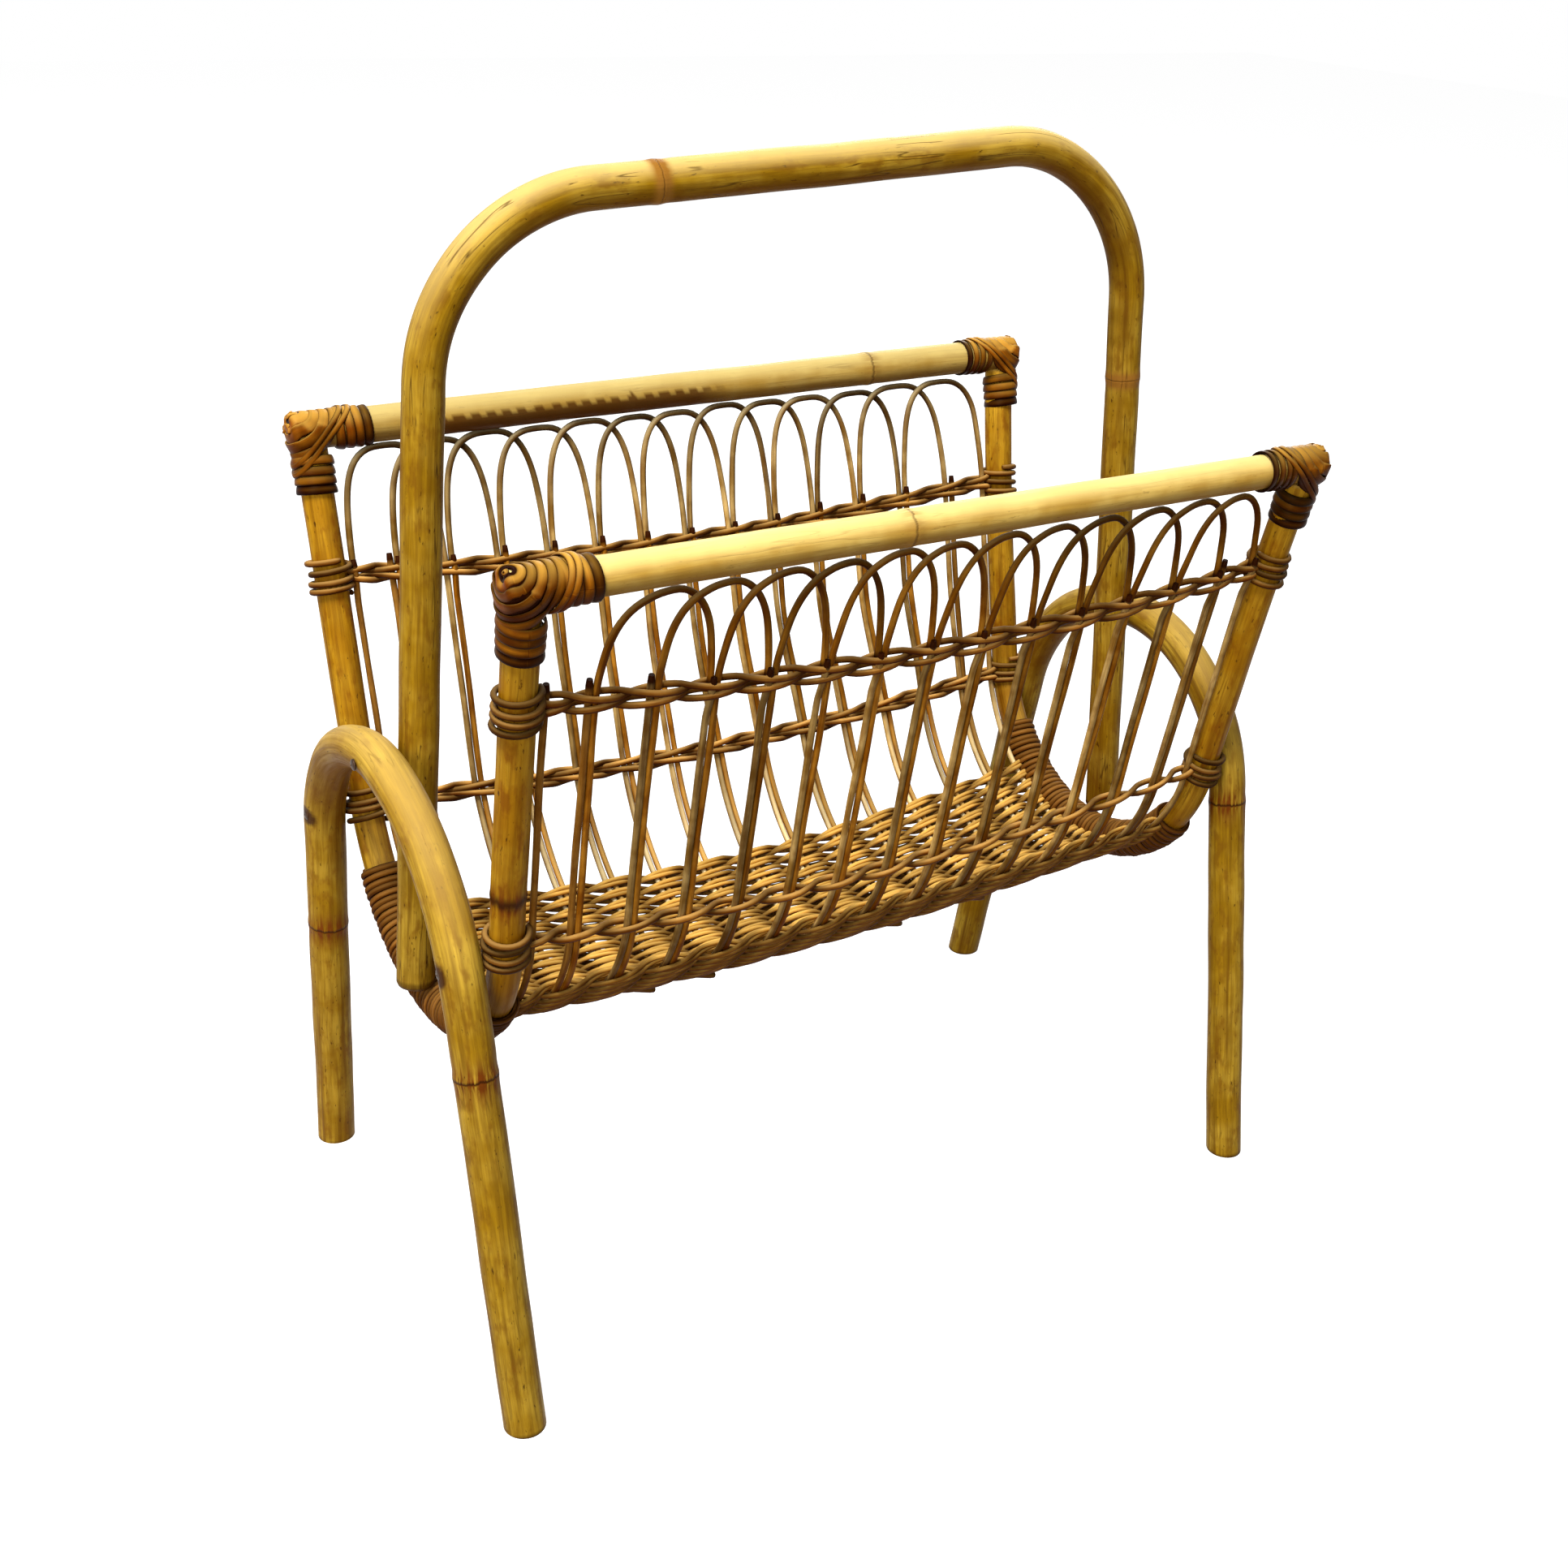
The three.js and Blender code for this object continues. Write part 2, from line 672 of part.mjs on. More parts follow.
// A cane's straight end meets the end of a loop inside the upper band, or stands free above it
function stubEnd(place, x, wall) {
  const line = sag(upperBand(wall), x);
  return fromRail(wall, loopEndsAt(place, wall) ? line + fitGap / 2 : line - bandHeight / 2 - stubLength);
}

// A loop rises from the band, passes before one neighbour and behind the other, and comes down in
// line with the partner of the pair where it ends
function loopPoints(startX, endX, wall) {
  const middleX = (startX + endX) / 2;
  const apex = railRadius + peelThickness + 2 * fitGap + caneRadius;
  const sway = caneRadius + loopCrossingGap / 2;
  const swayLimit = Math.sin((2 * Math.PI) / loopSteps);
  return Array.from({ length: loopSteps + 1 }, (_, step) => {
    const angle = (Math.PI * step) / loopSteps;
    const across = Math.sign(Math.cos(angle)) * Math.abs(Math.cos(angle)) ** (2 / loopFullness[wall]);
    const up = Math.sin(angle) ** (2 / loopFullness[wall]);
    const x = middleX - ((endX - startX) / 2) * across;
    const foot = bandTop(upperBand(wall), x);
    const side = Math.min(Math.max(Math.sin(2 * angle) / swayLimit, -1), 1);
    return wallPoint(x, fromRail(wall, foot - (foot - apex) * up), sway * side);
  });
}

function makeLoopCane(place, wall) {
  const x = caneX(place, wall);
  const endX = caneX(place + loopWay(wall) * loopPlaces, otherWall(wall));
  const tail = sag(upperBand(wall), endX) - fitGap / 2;
  const bends = trough.bendDistances().map((distance) => wallPoint(x, distance));
  if (wall === 'front') bends.reverse();
  const points = [
    wallPoint(x, stubEnd(place, x, otherWall(wall))),
    ...bends,
    ...loopPoints(x, endX, wall),
    wallPoint(endX, fromRail(wall, tail)),
  ];
  return rod(points, caneRadius, caneSides);
}

function makePlainCane(place, wall) {
  const x = caneX(place, wall);
  const points = [
    wallPoint(x, stubEnd(place, x, 'front')),
    ...trough.bendDistances().map((distance) => wallPoint(x, distance)),
    wallPoint(x, stubEnd(place, x, 'back')),
  ];
  return rod(points, caneRadius, caneSides);
}

addPiece('carry_handle', makeHandle(), rattan.pole, 0.5);
for (const { end, way } of ends) {
  addPiece(`leg_arch_${end}`, makeLegArch(way), rattan.pole, 0.5);
  addPiece(`end_frame_${end}`, makeEndFrame(way), rattan.frame, 0.5);
}
for (const wall of walls) {
  addPiece(`rail_${wall}`, makeRail(wall), rattan.rail, 0.45);
  for (const { end, way } of ends) {
    addPiece(`corner_cap_${wall}_${end}`, makeCornerCap(way, wall), peel, 0.35);
    addPiece(`corner_binding_${wall}_${end}`, makeBinding(bindingStations(way, wall)), peel, 0.4);
    addPiece(`corner_nail_${wall}_${end}`, nailGeometry(cornerNail(way, wall)), nailSteel, 0.5, 1);
  }
}

addPiece('upper_band_front', makeBand(upperBandFront, 'front', trough.armLength), woven.band);
addPiece('upper_band_back', makeBand(upperBandBack, 'back', trough.armLength), woven.band);
addPiece('lower_band_front', makeBand(lowerBandFront, 'front', crossingDistance - nailClearance), woven.band);
addPiece('lower_band_back', makeBand(lowerBandBack, 'back', crossingDistance - nailClearance), woven.band);
addPiece('woven_floor', makeFloor(), woven.floor, 0.7);

for (let place = loopStarts.front.first; place <= loopStarts.front.last; place += 1) {
  const number = String(place).padStart(2, '0');
  addPiece(`front_loop_cane_${number}`, makeLoopCane(place, 'front'), cane.front);
}
for (let place = loopStarts.back.first; place <= loopStarts.back.last; place += 1) {
  const number = String(place).padStart(2, '0');
  addPiece(`back_loop_cane_${number}`, makeLoopCane(place, 'back'), cane.back);
}
addPiece('plain_cane_00', makePlainCane(0, 'front'), cane.plain);
addPiece('plain_cane_01', makePlainCane(1, 'back'), cane.plain);
addPiece(`plain_cane_${stakeCount}`, makePlainCane(stakeCount, 'front'), cane.plain);

for (const { end, way } of ends) {
  const { frameNails, crownNail } = archNails(way);
  walls.forEach((wall, index) => {
    addPiece(`arch_nail_${wall}_${end}`, nailGeometry(frameNails[index]), nailSteel, 0.5, 1);
  });
  addPiece(`handle_nail_${end}`, nailGeometry(crownNail), nailSteel, 0.5, 1);
}

const turnGap = leastTurnGap(bindingStations(1, 'front'));
console.log(`Least gap between the turns of a corner binding: ${turnGap.toFixed(2)} mm`);

export default rack;
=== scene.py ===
import math
import random
import bpy
import numpy as np
from mathutils import Matrix, Vector


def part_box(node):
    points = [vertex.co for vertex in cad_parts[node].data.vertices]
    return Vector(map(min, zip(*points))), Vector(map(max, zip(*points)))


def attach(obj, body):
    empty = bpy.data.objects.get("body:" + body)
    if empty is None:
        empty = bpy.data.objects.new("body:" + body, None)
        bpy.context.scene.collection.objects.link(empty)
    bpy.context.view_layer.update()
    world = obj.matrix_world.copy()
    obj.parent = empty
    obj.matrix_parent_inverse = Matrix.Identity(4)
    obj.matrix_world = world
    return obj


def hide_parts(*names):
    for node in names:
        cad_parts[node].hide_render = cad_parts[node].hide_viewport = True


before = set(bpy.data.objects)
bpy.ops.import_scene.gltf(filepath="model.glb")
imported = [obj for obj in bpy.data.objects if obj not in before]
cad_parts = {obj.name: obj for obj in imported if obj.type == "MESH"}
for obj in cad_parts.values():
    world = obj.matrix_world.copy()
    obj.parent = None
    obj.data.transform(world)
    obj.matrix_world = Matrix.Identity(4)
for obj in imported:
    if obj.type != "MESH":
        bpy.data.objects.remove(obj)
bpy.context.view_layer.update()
print("frame loaded:", len(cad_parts), "nodes")

# lengths in this script are millimetres, objects are made in metres
mm = 0.001

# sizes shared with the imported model
rack = {
    "frameX": 200.0,  # axis of each end frame
    "railY": 123.5,  # axis of each rail
    "rimZ": 405.0,
    "troughZ": 157.5,  # axis of an end frame at its lowest point
    "troughBend": 90.0,
    "railRadius": 8.0,
    "frameRadius": 7.7,
    "footY": 131.0,
    "footX": 220.0,
    "crownZ": 288.0,
    "archBend": 92.0,
    "archRadius": 10.0,
    "archSplay": -0.0031,  # how much an arch leans in for each millimetre of height
    "handleRadius": 9.0,
    "handleFootX": 211.2,
    "handleFootZ": 168.6,
    "handleCornerX": 182.0,
    "handleCornerZ": 530.4,
    "handleRise": 17.0,
    "handleBend": 82.0,
    "canePitch": 28.0,
    "caneRadius": 1.6,
    "caneStep": 3.5,
    "endPlaceX": 188.3,
    "wrapRadius": 9.3,  # middle of a strand that goes round a frame
    "belly": 9.5,  # how much lower the floor hangs at mid length
    "bellyReach": 184.8,
    "lean": 6.0,  # how far the back canes lean to the left
    "leanStart": 205.0,  # distances from the back rail between which they lean
    "leanEnd": 115.0,
    "rightFlare": 4.0,  # the right frame stands out at its rim
    "flareZ": 290.0,  # height above which it does
    "leftDrop": 2.2,  # the back rail is lower at its left end
}


def clamp(value):
    return np.clip(value, 0, 1)


# a bent pole seen from the end, two straight arms and a round bend
def bentPole(mouthY, mouthZ, bendZ, bendRadius):
    flip = 1.0 if mouthZ > bendZ else -1.0
    centreZ = bendZ + flip * bendRadius
    rise = abs(mouthZ - centreZ)
    span = math.hypot(mouthY, rise)
    arm = math.sqrt(span ** 2 - bendRadius ** 2)
    lean = math.acos(bendRadius / span) - math.atan2(rise, mouthY)
    sweep = (math.pi - 2 * lean) * bendRadius
    return {"flip": flip, "centreZ": centreZ, "arm": arm, "lean": lean,
            "sweep": sweep, "radius": bendRadius, "length": 2 * arm + sweep}


# places on the pole's axis, moved off it by a distance
def onPole(pole, s, off=0.0):
    s = np.asarray(s, float)
    arc = np.clip(s - pole["arm"], 0, pole["sweep"])
    angle = math.pi + pole["lean"] + arc / pole["radius"]
    rest = s - pole["arm"] - arc
    reach = pole["radius"] + off
    y = reach * np.cos(angle) - rest * np.sin(angle)
    z = reach * np.sin(angle) + rest * np.cos(angle)
    return y, pole["centreZ"] + pole["flip"] * z


trough = bentPole(rack["railY"], rack["rimZ"], rack["troughZ"], rack["troughBend"])
arch = bentPole(rack["footY"], 0.0, rack["crownZ"], rack["archBend"])


# a place on the wall of the trough, with s from the front rail to the back rail
def wallPoint(x, s, off=0.0):
    x = np.asarray(x, float)
    s = np.asarray(s, float)
    side = np.clip(x / rack["bellyReach"], -1, 1)
    share = clamp((s - trough["arm"]) / trough["sweep"])
    belly = rack["belly"] * (1 - side ** 2) * np.sin(math.pi * share) ** 2
    up = clamp((trough["length"] - s - rack["leanStart"]) / (rack["leanEnd"] - rack["leanStart"]))
    lean = rack["lean"] * up * up * (3 - 2 * up) * (1 - side ** 2) * (1 + side) ** 2
    y, z = onPole(trough, s, off + belly)
    return np.stack(np.broadcast_arrays(x - lean, y, z), axis=-1)


def flareX(way, z):
    share = clamp((z - rack["flareZ"]) / (rack["rimZ"] - rack["flareZ"]))
    return (rack["rightFlare"] if way > 0 else 0) * share ** 2


def railZ(x, side):
    drop = rack["leftDrop"] if side > 0 else 0
    return rack["rimZ"] - drop * clamp(0.5 - x / (2 * rack["frameX"]))


def wallOut(x, s):
    return wallPoint(x, s, 1.0) - wallPoint(x, s, 0.0)


def fromRail(wall, distance):
    return distance if wall == "front" else trough["length"] - distance


# smooth random numbers along a line, between about -1 and 1: the octaves add up to 1.83
def wander(seed, s, wavelength):
    rng = random.Random(seed)
    total = np.zeros_like(np.asarray(s, float))
    for octave in range(3):
        length = wavelength / (1.0 + 1.3 * octave)
        total = total + np.sin(s * (2 * math.pi / length) + rng.uniform(0, 6.28)) / (1 + octave)
    return total / 1.83


# meshes are gathered in piles of tubes and strips
def newPile():
    pile = {key: [] for key in ("verts", "quads", "caps", "grain", "ring", "tone", "shade")}
    pile["count"] = 0
    return pile


def fullTurn(count):
    return np.linspace(0, 2 * math.pi, count, endpoint=False)


def unit(vectors):
    return vectors / np.linalg.norm(vectors, axis=-1, keepdims=True)


# places on a circle in the plane of two directions
def circleOf(angle, first, second):
    return np.cos(angle)[:, None] * first + np.sin(angle)[:, None] * second


# distance along a path at each of its points
def pathLengths(points):
    return np.concatenate([[0], np.cumsum(np.linalg.norm(np.diff(points, axis=0), axis=1))])


def roundSection(sides):
    angle = fullTurn(sides)
    return np.stack([np.cos(angle), np.sin(angle)], axis=1)


# flat underneath and crowned on top, half a unit thick and one unit to each side
def stripSection():
    angle = fullTurn(12)
    across = np.sign(np.sin(angle)) * np.abs(np.sin(angle)) ** 0.7
    thick = np.where(np.cos(angle) > 0, np.cos(angle), 0.55 * np.cos(angle))
    return np.stack([thick, across], axis=1)


def tubeFrames(points, guide, closed):
    if closed:
        tangents = np.roll(points, -1, 0) - np.roll(points, 1, 0)
    else:
        tangents = np.gradient(points, axis=0)
    tangents = unit(tangents)
    if guide is None:
        normals = [unit(np.cross(tangents[0], (0.31, 0.52, 0.79)))]
        for tangent in tangents[1:]:
            normals.append(unit(normals[-1] - tangent * normals[-1].dot(tangent)))
        normals = np.array(normals)
    else:
        normals = unit(guide - tangents * (guide * tangents).sum(axis=1)[:, None])
    return normals, np.cross(tangents, normals)


# one value for a tube, or one for each of its rings, as a value for every point
def perPoint(value, count, sides):
    value = np.asarray(value, float)
    return np.broadcast_to(value if value.ndim == 2 else value.reshape(-1, 1), (count, sides))


# a tube along points: half thickness along the guide, half width across it
def addTube(pile, points, thick, wide=None, section=None, guide=None, rings=(), tone=0.5, shade=0.0,
            offset=0.0, chamfer=0.3, edge=0.0, closed=False):
    points = np.asarray(points, float)
    count = len(points)
    section = roundSection(12) if section is None else section
    sides = len(section)
    wide = perPoint(thick if wide is None else wide, count, sides)
    thick = perPoint(thick, count, sides)
    normals, across = tubeFrames(points, guide, closed)
    along = pathLengths(points)
    # the last ring at each end is drawn in, so that the cut edge is softened
    keep = np.ones((count, 1))
    for index, outer in ((0, 1), (-1, -2)):
        keep[index] = 1 - (0 if closed else chamfer / max(float(np.max(thick[outer])), chamfer * 2))
    a = section[:, 0] * thick * keep
    b = section[:, 1] * wide * keep
    verts = points[:, None, :] + a[:, :, None] * normals[:, None, :] + b[:, :, None] * across[:, None, :]
    grain = np.stack([np.broadcast_to((along + offset)[:, None], a.shape), a, b], axis=2)
    if len(rings):
        rings = np.sort(np.asarray(rings, float))
        nearest = np.min(np.abs(along[:, None] - rings[None, :]), axis=1)
        ring = nearest * np.where(np.searchsorted(rings, along) % 2, -1.0, 1.0)
    else:
        ring = np.full(count, 1000.0)
    start = pile["count"]
    index = start + np.arange(count * sides).reshape(count, sides)
    if closed:
        index = np.concatenate([index, index[:1]])
    quads = np.stack([index[:-1], np.roll(index[:-1], -1, 1), np.roll(index[1:], -1, 1), index[1:]], axis=2)
    pile["verts"].append(verts.reshape(-1, 3))
    pile["quads"].append(quads.reshape(-1, 4))
    if not closed:
        pile["caps"] += [index[0][::-1].tolist(), index[-1].tolist()]
    pile["grain"].append(grain.reshape(-1, 3))
    pile["ring"].append(np.repeat(ring, sides))
    pile["tone"].append(perPoint(tone, count, sides).reshape(-1))
    # edge paints shade along the sides of a strip, where it meets its neighbours
    shades = clamp(perPoint(shade, count, sides) + edge * np.abs(section[:, 1])[None, :] ** 3)
    pile["shade"].append(shades.reshape(-1))
    pile["count"] += count * sides


def addObject(name, data):
    thing = bpy.data.objects.new(name, data)
    bpy.context.scene.collection.objects.link(thing)
    return thing


# one finished piece, which rides on the rack's only body and stands for its CAD node
def finishPile(pile, name, slotName, node, finish=None):
    mesh = bpy.data.meshes.new(name)
    quads = np.concatenate(pile["quads"])
    verts = np.concatenate(pile["verts"]) * mm
    faces = quads.tolist() + pile["caps"]
    mesh.from_pydata(verts.tolist(), [], faces)
    smooth = np.ones(len(faces), bool)
    smooth[len(quads):] = False
    mesh.polygons.foreach_set("use_smooth", smooth)
    grain = mesh.attributes.new("grain", "FLOAT_VECTOR", "POINT")
    grain.data.foreach_set("vector", (np.concatenate(pile["grain"]) * mm).astype(np.float32).reshape(-1))
    for key in ("ring", "tone", "shade"):
        values = mesh.attributes.new(key, "FLOAT", "POINT")
        values.data.foreach_set("value", np.concatenate(pile[key]).astype(np.float32))
    mesh.materials.append(materials[finish or slotName])
    mesh.update()
    piece = addObject(name, mesh)
    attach(piece, "root")
    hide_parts(node)


# shader helpers: the nodes of a tree stand in one row, in the order in which they are made
def addNode(tree, kind, **settings):
    node = tree.nodes.new(kind)
    node.location = (180 * len(tree.nodes), 0)
    for key, value in settings.items():
        setattr(node, key, value)
    return node


# another node's output is linked to a socket, and any other value is set on it
def plug(tree, socket, value):
    if isinstance(value, bpy.types.NodeSocket):
        tree.links.new(value, socket)
    else:
        socket.default_value = value


def plugAll(tree, node, **values):
    for key, value in values.items():
        plug(tree, node.inputs[key.replace("_", " ")], value)
    return node


def calculate(tree, operation, *values):
    node = addNode(tree, "ShaderNodeMath", operation=operation)
    for socket, value in zip(node.inputs, values):
        plug(tree, socket, value)
    return node.outputs[0]


def scaled(tree, value, factor, base=0.0):
    return calculate(tree, "MULTIPLY_ADD", value, factor, base)


# soft step from start to end while the value goes from low to high
def fade(tree, value, low, high, start=0.0, end=1.0):
    node = addNode(tree, "ShaderNodeMapRange", interpolation_type="SMOOTHSTEP")
    plugAll(tree, node, Value=value, From_Min=low, From_Max=high, To_Min=start, To_Max=end)
    return node.outputs["Result"]


def readMesh(tree, name, output="Fac"):
    return addNode(tree, "ShaderNodeAttribute", attribute_name=name).outputs[output]


# noise with its own density along each axis
def noise(tree, vector, density, scale=1.0, detail=3.0, roughness=0.6):
    spread = addNode(tree, "ShaderNodeVectorMath", operation="MULTIPLY")
    plug(tree, spread.inputs[0], vector)
    plug(tree, spread.inputs[1], density)
    node = addNode(tree, "ShaderNodeTexNoise")
    plugAll(tree, node, Vector=spread.outputs["Vector"], Scale=scale, Detail=detail, Roughness=roughness)
    return node.outputs["Fac"]


def mixColour(tree, factor, first, second):
    node = addNode(tree, "ShaderNodeMix", data_type="RGBA")
    sockets = node.inputs["Factor"], node.inputs[6], node.inputs[7]
    for socket, value in zip(sockets, (factor, first, second)):
        plug(tree, socket, value)
    return node.outputs[2]


def srgb(red, green, blue):
    def linear(value):
        value /= 255.0
        return value / 12.92 if value <= 0.04045 else ((value + 0.055) / 1.055) ** 2.4
    return (linear(red), linear(green), linear(blue), 1.0)


def newMaterial(name):
    material = bpy.data.materials.new(name)
    material.use_nodes = True
    return material, material.node_tree, material.node_tree.nodes["Principled BSDF"]


def newGroup(name, inputs, outputs):
    group = bpy.data.node_groups.new(name, "ShaderNodeTree")
    for key, value in inputs.items():
        socket = group.interface.new_socket(key, in_out="INPUT", socket_type="NodeSocketFloat")
        socket.default_value = value
    for key in outputs:
        group.interface.new_socket(key, in_out="OUTPUT", socket_type="NodeSocketFloat")
    return group, addNode(group, "NodeGroupInput").outputs, addNode(group, "NodeGroupOutput").inputs


# fibres, streaks, blotches, specks and cracks, in the coordinates of the straightened pole
def makeGrainGroup():
    group, inputs, outputs = newGroup(
        "rattanGrain", {"Along Scale": 14.0, "Across Scale": 420.0, "Blotch Scale": 30.0},
        ("Fibre", "Streak", "Blotch", "Fleck", "Mottle", "Crack", "Height"))
    grain = readMesh(group, "grain", "Vector")
    scales = addNode(group, "ShaderNodeCombineXYZ")
    plugAll(group, scales, X=inputs["Along Scale"], Y=inputs["Across Scale"], Z=inputs["Across Scale"])
    lengthwise = scales.outputs["Vector"]
    fibre = noise(group, grain, lengthwise, detail=5.0, roughness=0.62)
    streak = noise(group, grain, lengthwise, scale=0.33, roughness=0.55)
    blotch = noise(group, grain, (1.0, 1.0, 1.0), scale=inputs["Blotch Scale"])
    fleck = noise(group, grain, (190.0, 620.0, 620.0))
    mottle = noise(group, grain, (75.0, 170.0, 170.0))
    for name, value, low, high in (("Fibre", fibre, 0.34, 0.66), ("Streak", streak, 0.52, 0.72),
                                   ("Blotch", blotch, 0.36, 0.66), ("Fleck", fleck, 0.64, 0.71),
                                   ("Mottle", mottle, 0.5, 0.7)):
        plug(group, outputs[name], fade(group, value, low, high))
    # a crack is a thin line where a long noise crosses its middle, on some stretches only
    wave = noise(group, grain, (9.0, 150.0, 150.0), detail=2.0, roughness=0.5)
    away = calculate(group, "ABSOLUTE", calculate(group, "SUBTRACT", wave, 0.5))
    thin = fade(group, away, 0.0, 0.014, start=1.0, end=0.0)
    plug(group, outputs["Crack"], calculate(group, "MULTIPLY", thin, fade(group, blotch, 0.47, 0.55)))
    plug(group, outputs["Height"], fibre)
    return group


# jagged line round a pole where a leaf once grew, with a patchy stain beside it
def makeRingGroup():
    group, inputs, outputs = newGroup(
        "growthRing", {"Line Width": 0.9, "Stain Width": 5.0, "Jag": 0.8, "Cover": 0.0}, ("Line", "Stain"))
    jag = noise(group, readMesh(group, "grain", "Vector"), (20.0, 420.0, 420.0), detail=4.0, roughness=0.7)
    centred = calculate(group, "SUBTRACT", jag, 0.5)
    away = calculate(group, "ABSOLUTE",
                     calculate(group, "MULTIPLY_ADD", centred, inputs["Jag"], readMesh(group, "ring")))
    line = fade(group, away, 0.0, inputs["Line Width"], start=1.0, end=0.0)
    stain = fade(group, away, 0.0, inputs["Stain Width"], start=1.0, end=0.0)
    patches = fade(group, jag, 0.36, 0.62, start=inputs["Cover"])
    plug(group, outputs["Line"], line)
    plug(group, outputs["Stain"], calculate(group, "MULTIPLY", stain, patches))
    return group


grainGroup = makeGrainGroup()
ringGroup = makeRingGroup()


# one rattan finish, built up in layers over its skin colour
def rattanMaterial(name, look):
    material, tree, skin = newMaterial(name)
    grain = plugAll(tree, addNode(tree, "ShaderNodeGroup", node_tree=grainGroup), Along_Scale=look["along"],
                    Across_Scale=look["across"], Blotch_Scale=look["blotchScale"]).outputs
    ring = plugAll(tree, addNode(tree, "ShaderNodeGroup", node_tree=ringGroup), Line_Width=look["ringLine"],
                   Stain_Width=look["ringStain"], Jag=look["ringJag"], Cover=look["ringCover"]).outputs
    facing = addNode(tree, "ShaderNodeSeparateXYZ")
    plug(tree, facing.inputs["Vector"], addNode(tree, "ShaderNodeNewGeometry").outputs["Normal"])
    upward = facing.outputs["Z"]
    crack = scaled(tree, grain["Crack"], look["crack"])
    # painted top light and painted shade: the upper side is mixed toward the pale colour and the lower side
    # toward the deep colour, by the way the surface faces
    layers = (
        (scaled(tree, grain["Fibre"], look["fibre"]), "dark"),
        (scaled(tree, grain["Streak"], look["streak"]), "dark"),
        (scaled(tree, grain["Mottle"], look["mottle"]), "patch"),
        (scaled(tree, grain["Fleck"], look["fleck"]), "ringDark"),
        (fade(tree, upward, 0.1, 1.0, end=look["paintedTopLight"]), "pale"),
        (fade(tree, upward, 0.15, -0.7, end=look["under"]), "deep"),
        (scaled(tree, ring["Stain"], look["stain"]), "ringTint"),
        (crack, "ringDark"),
        (scaled(tree, ring["Line"], look["line"]), "ringDark"),
        # the shade attribute mixes toward the shadow colour: painted shade where strands dive, along strip
        # edges, under the peel, on the floor's outer side and on the handle posts, and also real stains such
        # as the saw-toothed stain, the marks round the nails and cut ends
        (readMesh(tree, "shade"), "shadow"),
    )
    colour = mixColour(tree, grain["Blotch"], srgb(*look["base"]), srgb(*look["light"]))
    for share, tint in layers:
        colour = mixColour(tree, share, colour, srgb(*look[tint]))
    spread = look["toneSpread"]
    level = addNode(tree, "ShaderNodeHueSaturation")
    plugAll(tree, level, Value=scaled(tree, readMesh(tree, "tone"), spread, 1 - spread / 2), Color=colour)
    bump = addNode(tree, "ShaderNodeBump")
    height = calculate(tree, "SUBTRACT", calculate(tree, "SUBTRACT", grain["Height"], ring["Line"]), crack)
    plugAll(tree, bump, Strength=look["bump"], Distance=look["bumpDepth"] * mm, Height=height)
    plugAll(tree, skin, Base_Color=level.outputs["Color"], Normal=bump.outputs["Normal"],
            Roughness=scaled(tree, grain["Fibre"], look["roughSpread"], look["rough"]),
            Coat_Weight=look["coat"], Coat_Roughness=look["coatRough"],
            Specular_IOR_Level=look["specular"], Specular_Tint=look["glint"])
    return material


poleLook = {
    "base": (154, 114, 14), "light": (186, 148, 46), "dark": (88, 50, 4),
    "along": 26.0, "across": 520.0, "blotchScale": 30.0, "fibre": 0.5, "streak": 0.7,
    "mottle": 0.7, "fleck": 0.8, "patch": (118, 76, 12), "crack": 0.3,
    "paintedTopLight": 0.4, "pale": (218, 184, 102), "under": 0.75, "deep": (100, 56, 5),
    "ringLine": 1.2, "ringStain": 16.0, "ringJag": 3.4, "ringCover": 0.0, "stain": 1.2,
    "line": 0.95,
    "ringTint": (104, 50, 8), "ringDark": (50, 20, 3), "shadow": (56, 26, 3),
    "toneSpread": 0.35, "rough": 0.4, "roughSpread": 0.16, "coat": 0.0, "coatRough": 0.2,
    "specular": 0.05, "glint": (1.0, 0.8, 0.42, 1.0), "bump": 0.6, "bumpDepth": 0.35,
}
caneLook = {
    **poleLook, "base": (138, 80, 8), "light": (184, 124, 36), "dark": (50, 16, 1),
    "along": 30.0, "across": 900.0, "blotchScale": 40.0, "fibre": 0.45, "streak": 0.6,
    "mottle": 0.45, "fleck": 0.2, "patch": (86, 44, 6), "crack": 0.0,
    "paintedTopLight": 0.7, "pale": (222, 182, 106), "under": 0.95, "deep": (64, 18, 0),
    "line": 0.0, "stain": 0.0, "shadow": (40, 12, 1), "toneSpread": 0.9,
    "rough": 0.45, "specular": 0.03, "bump": 0.4, "bumpDepth": 0.2,
}
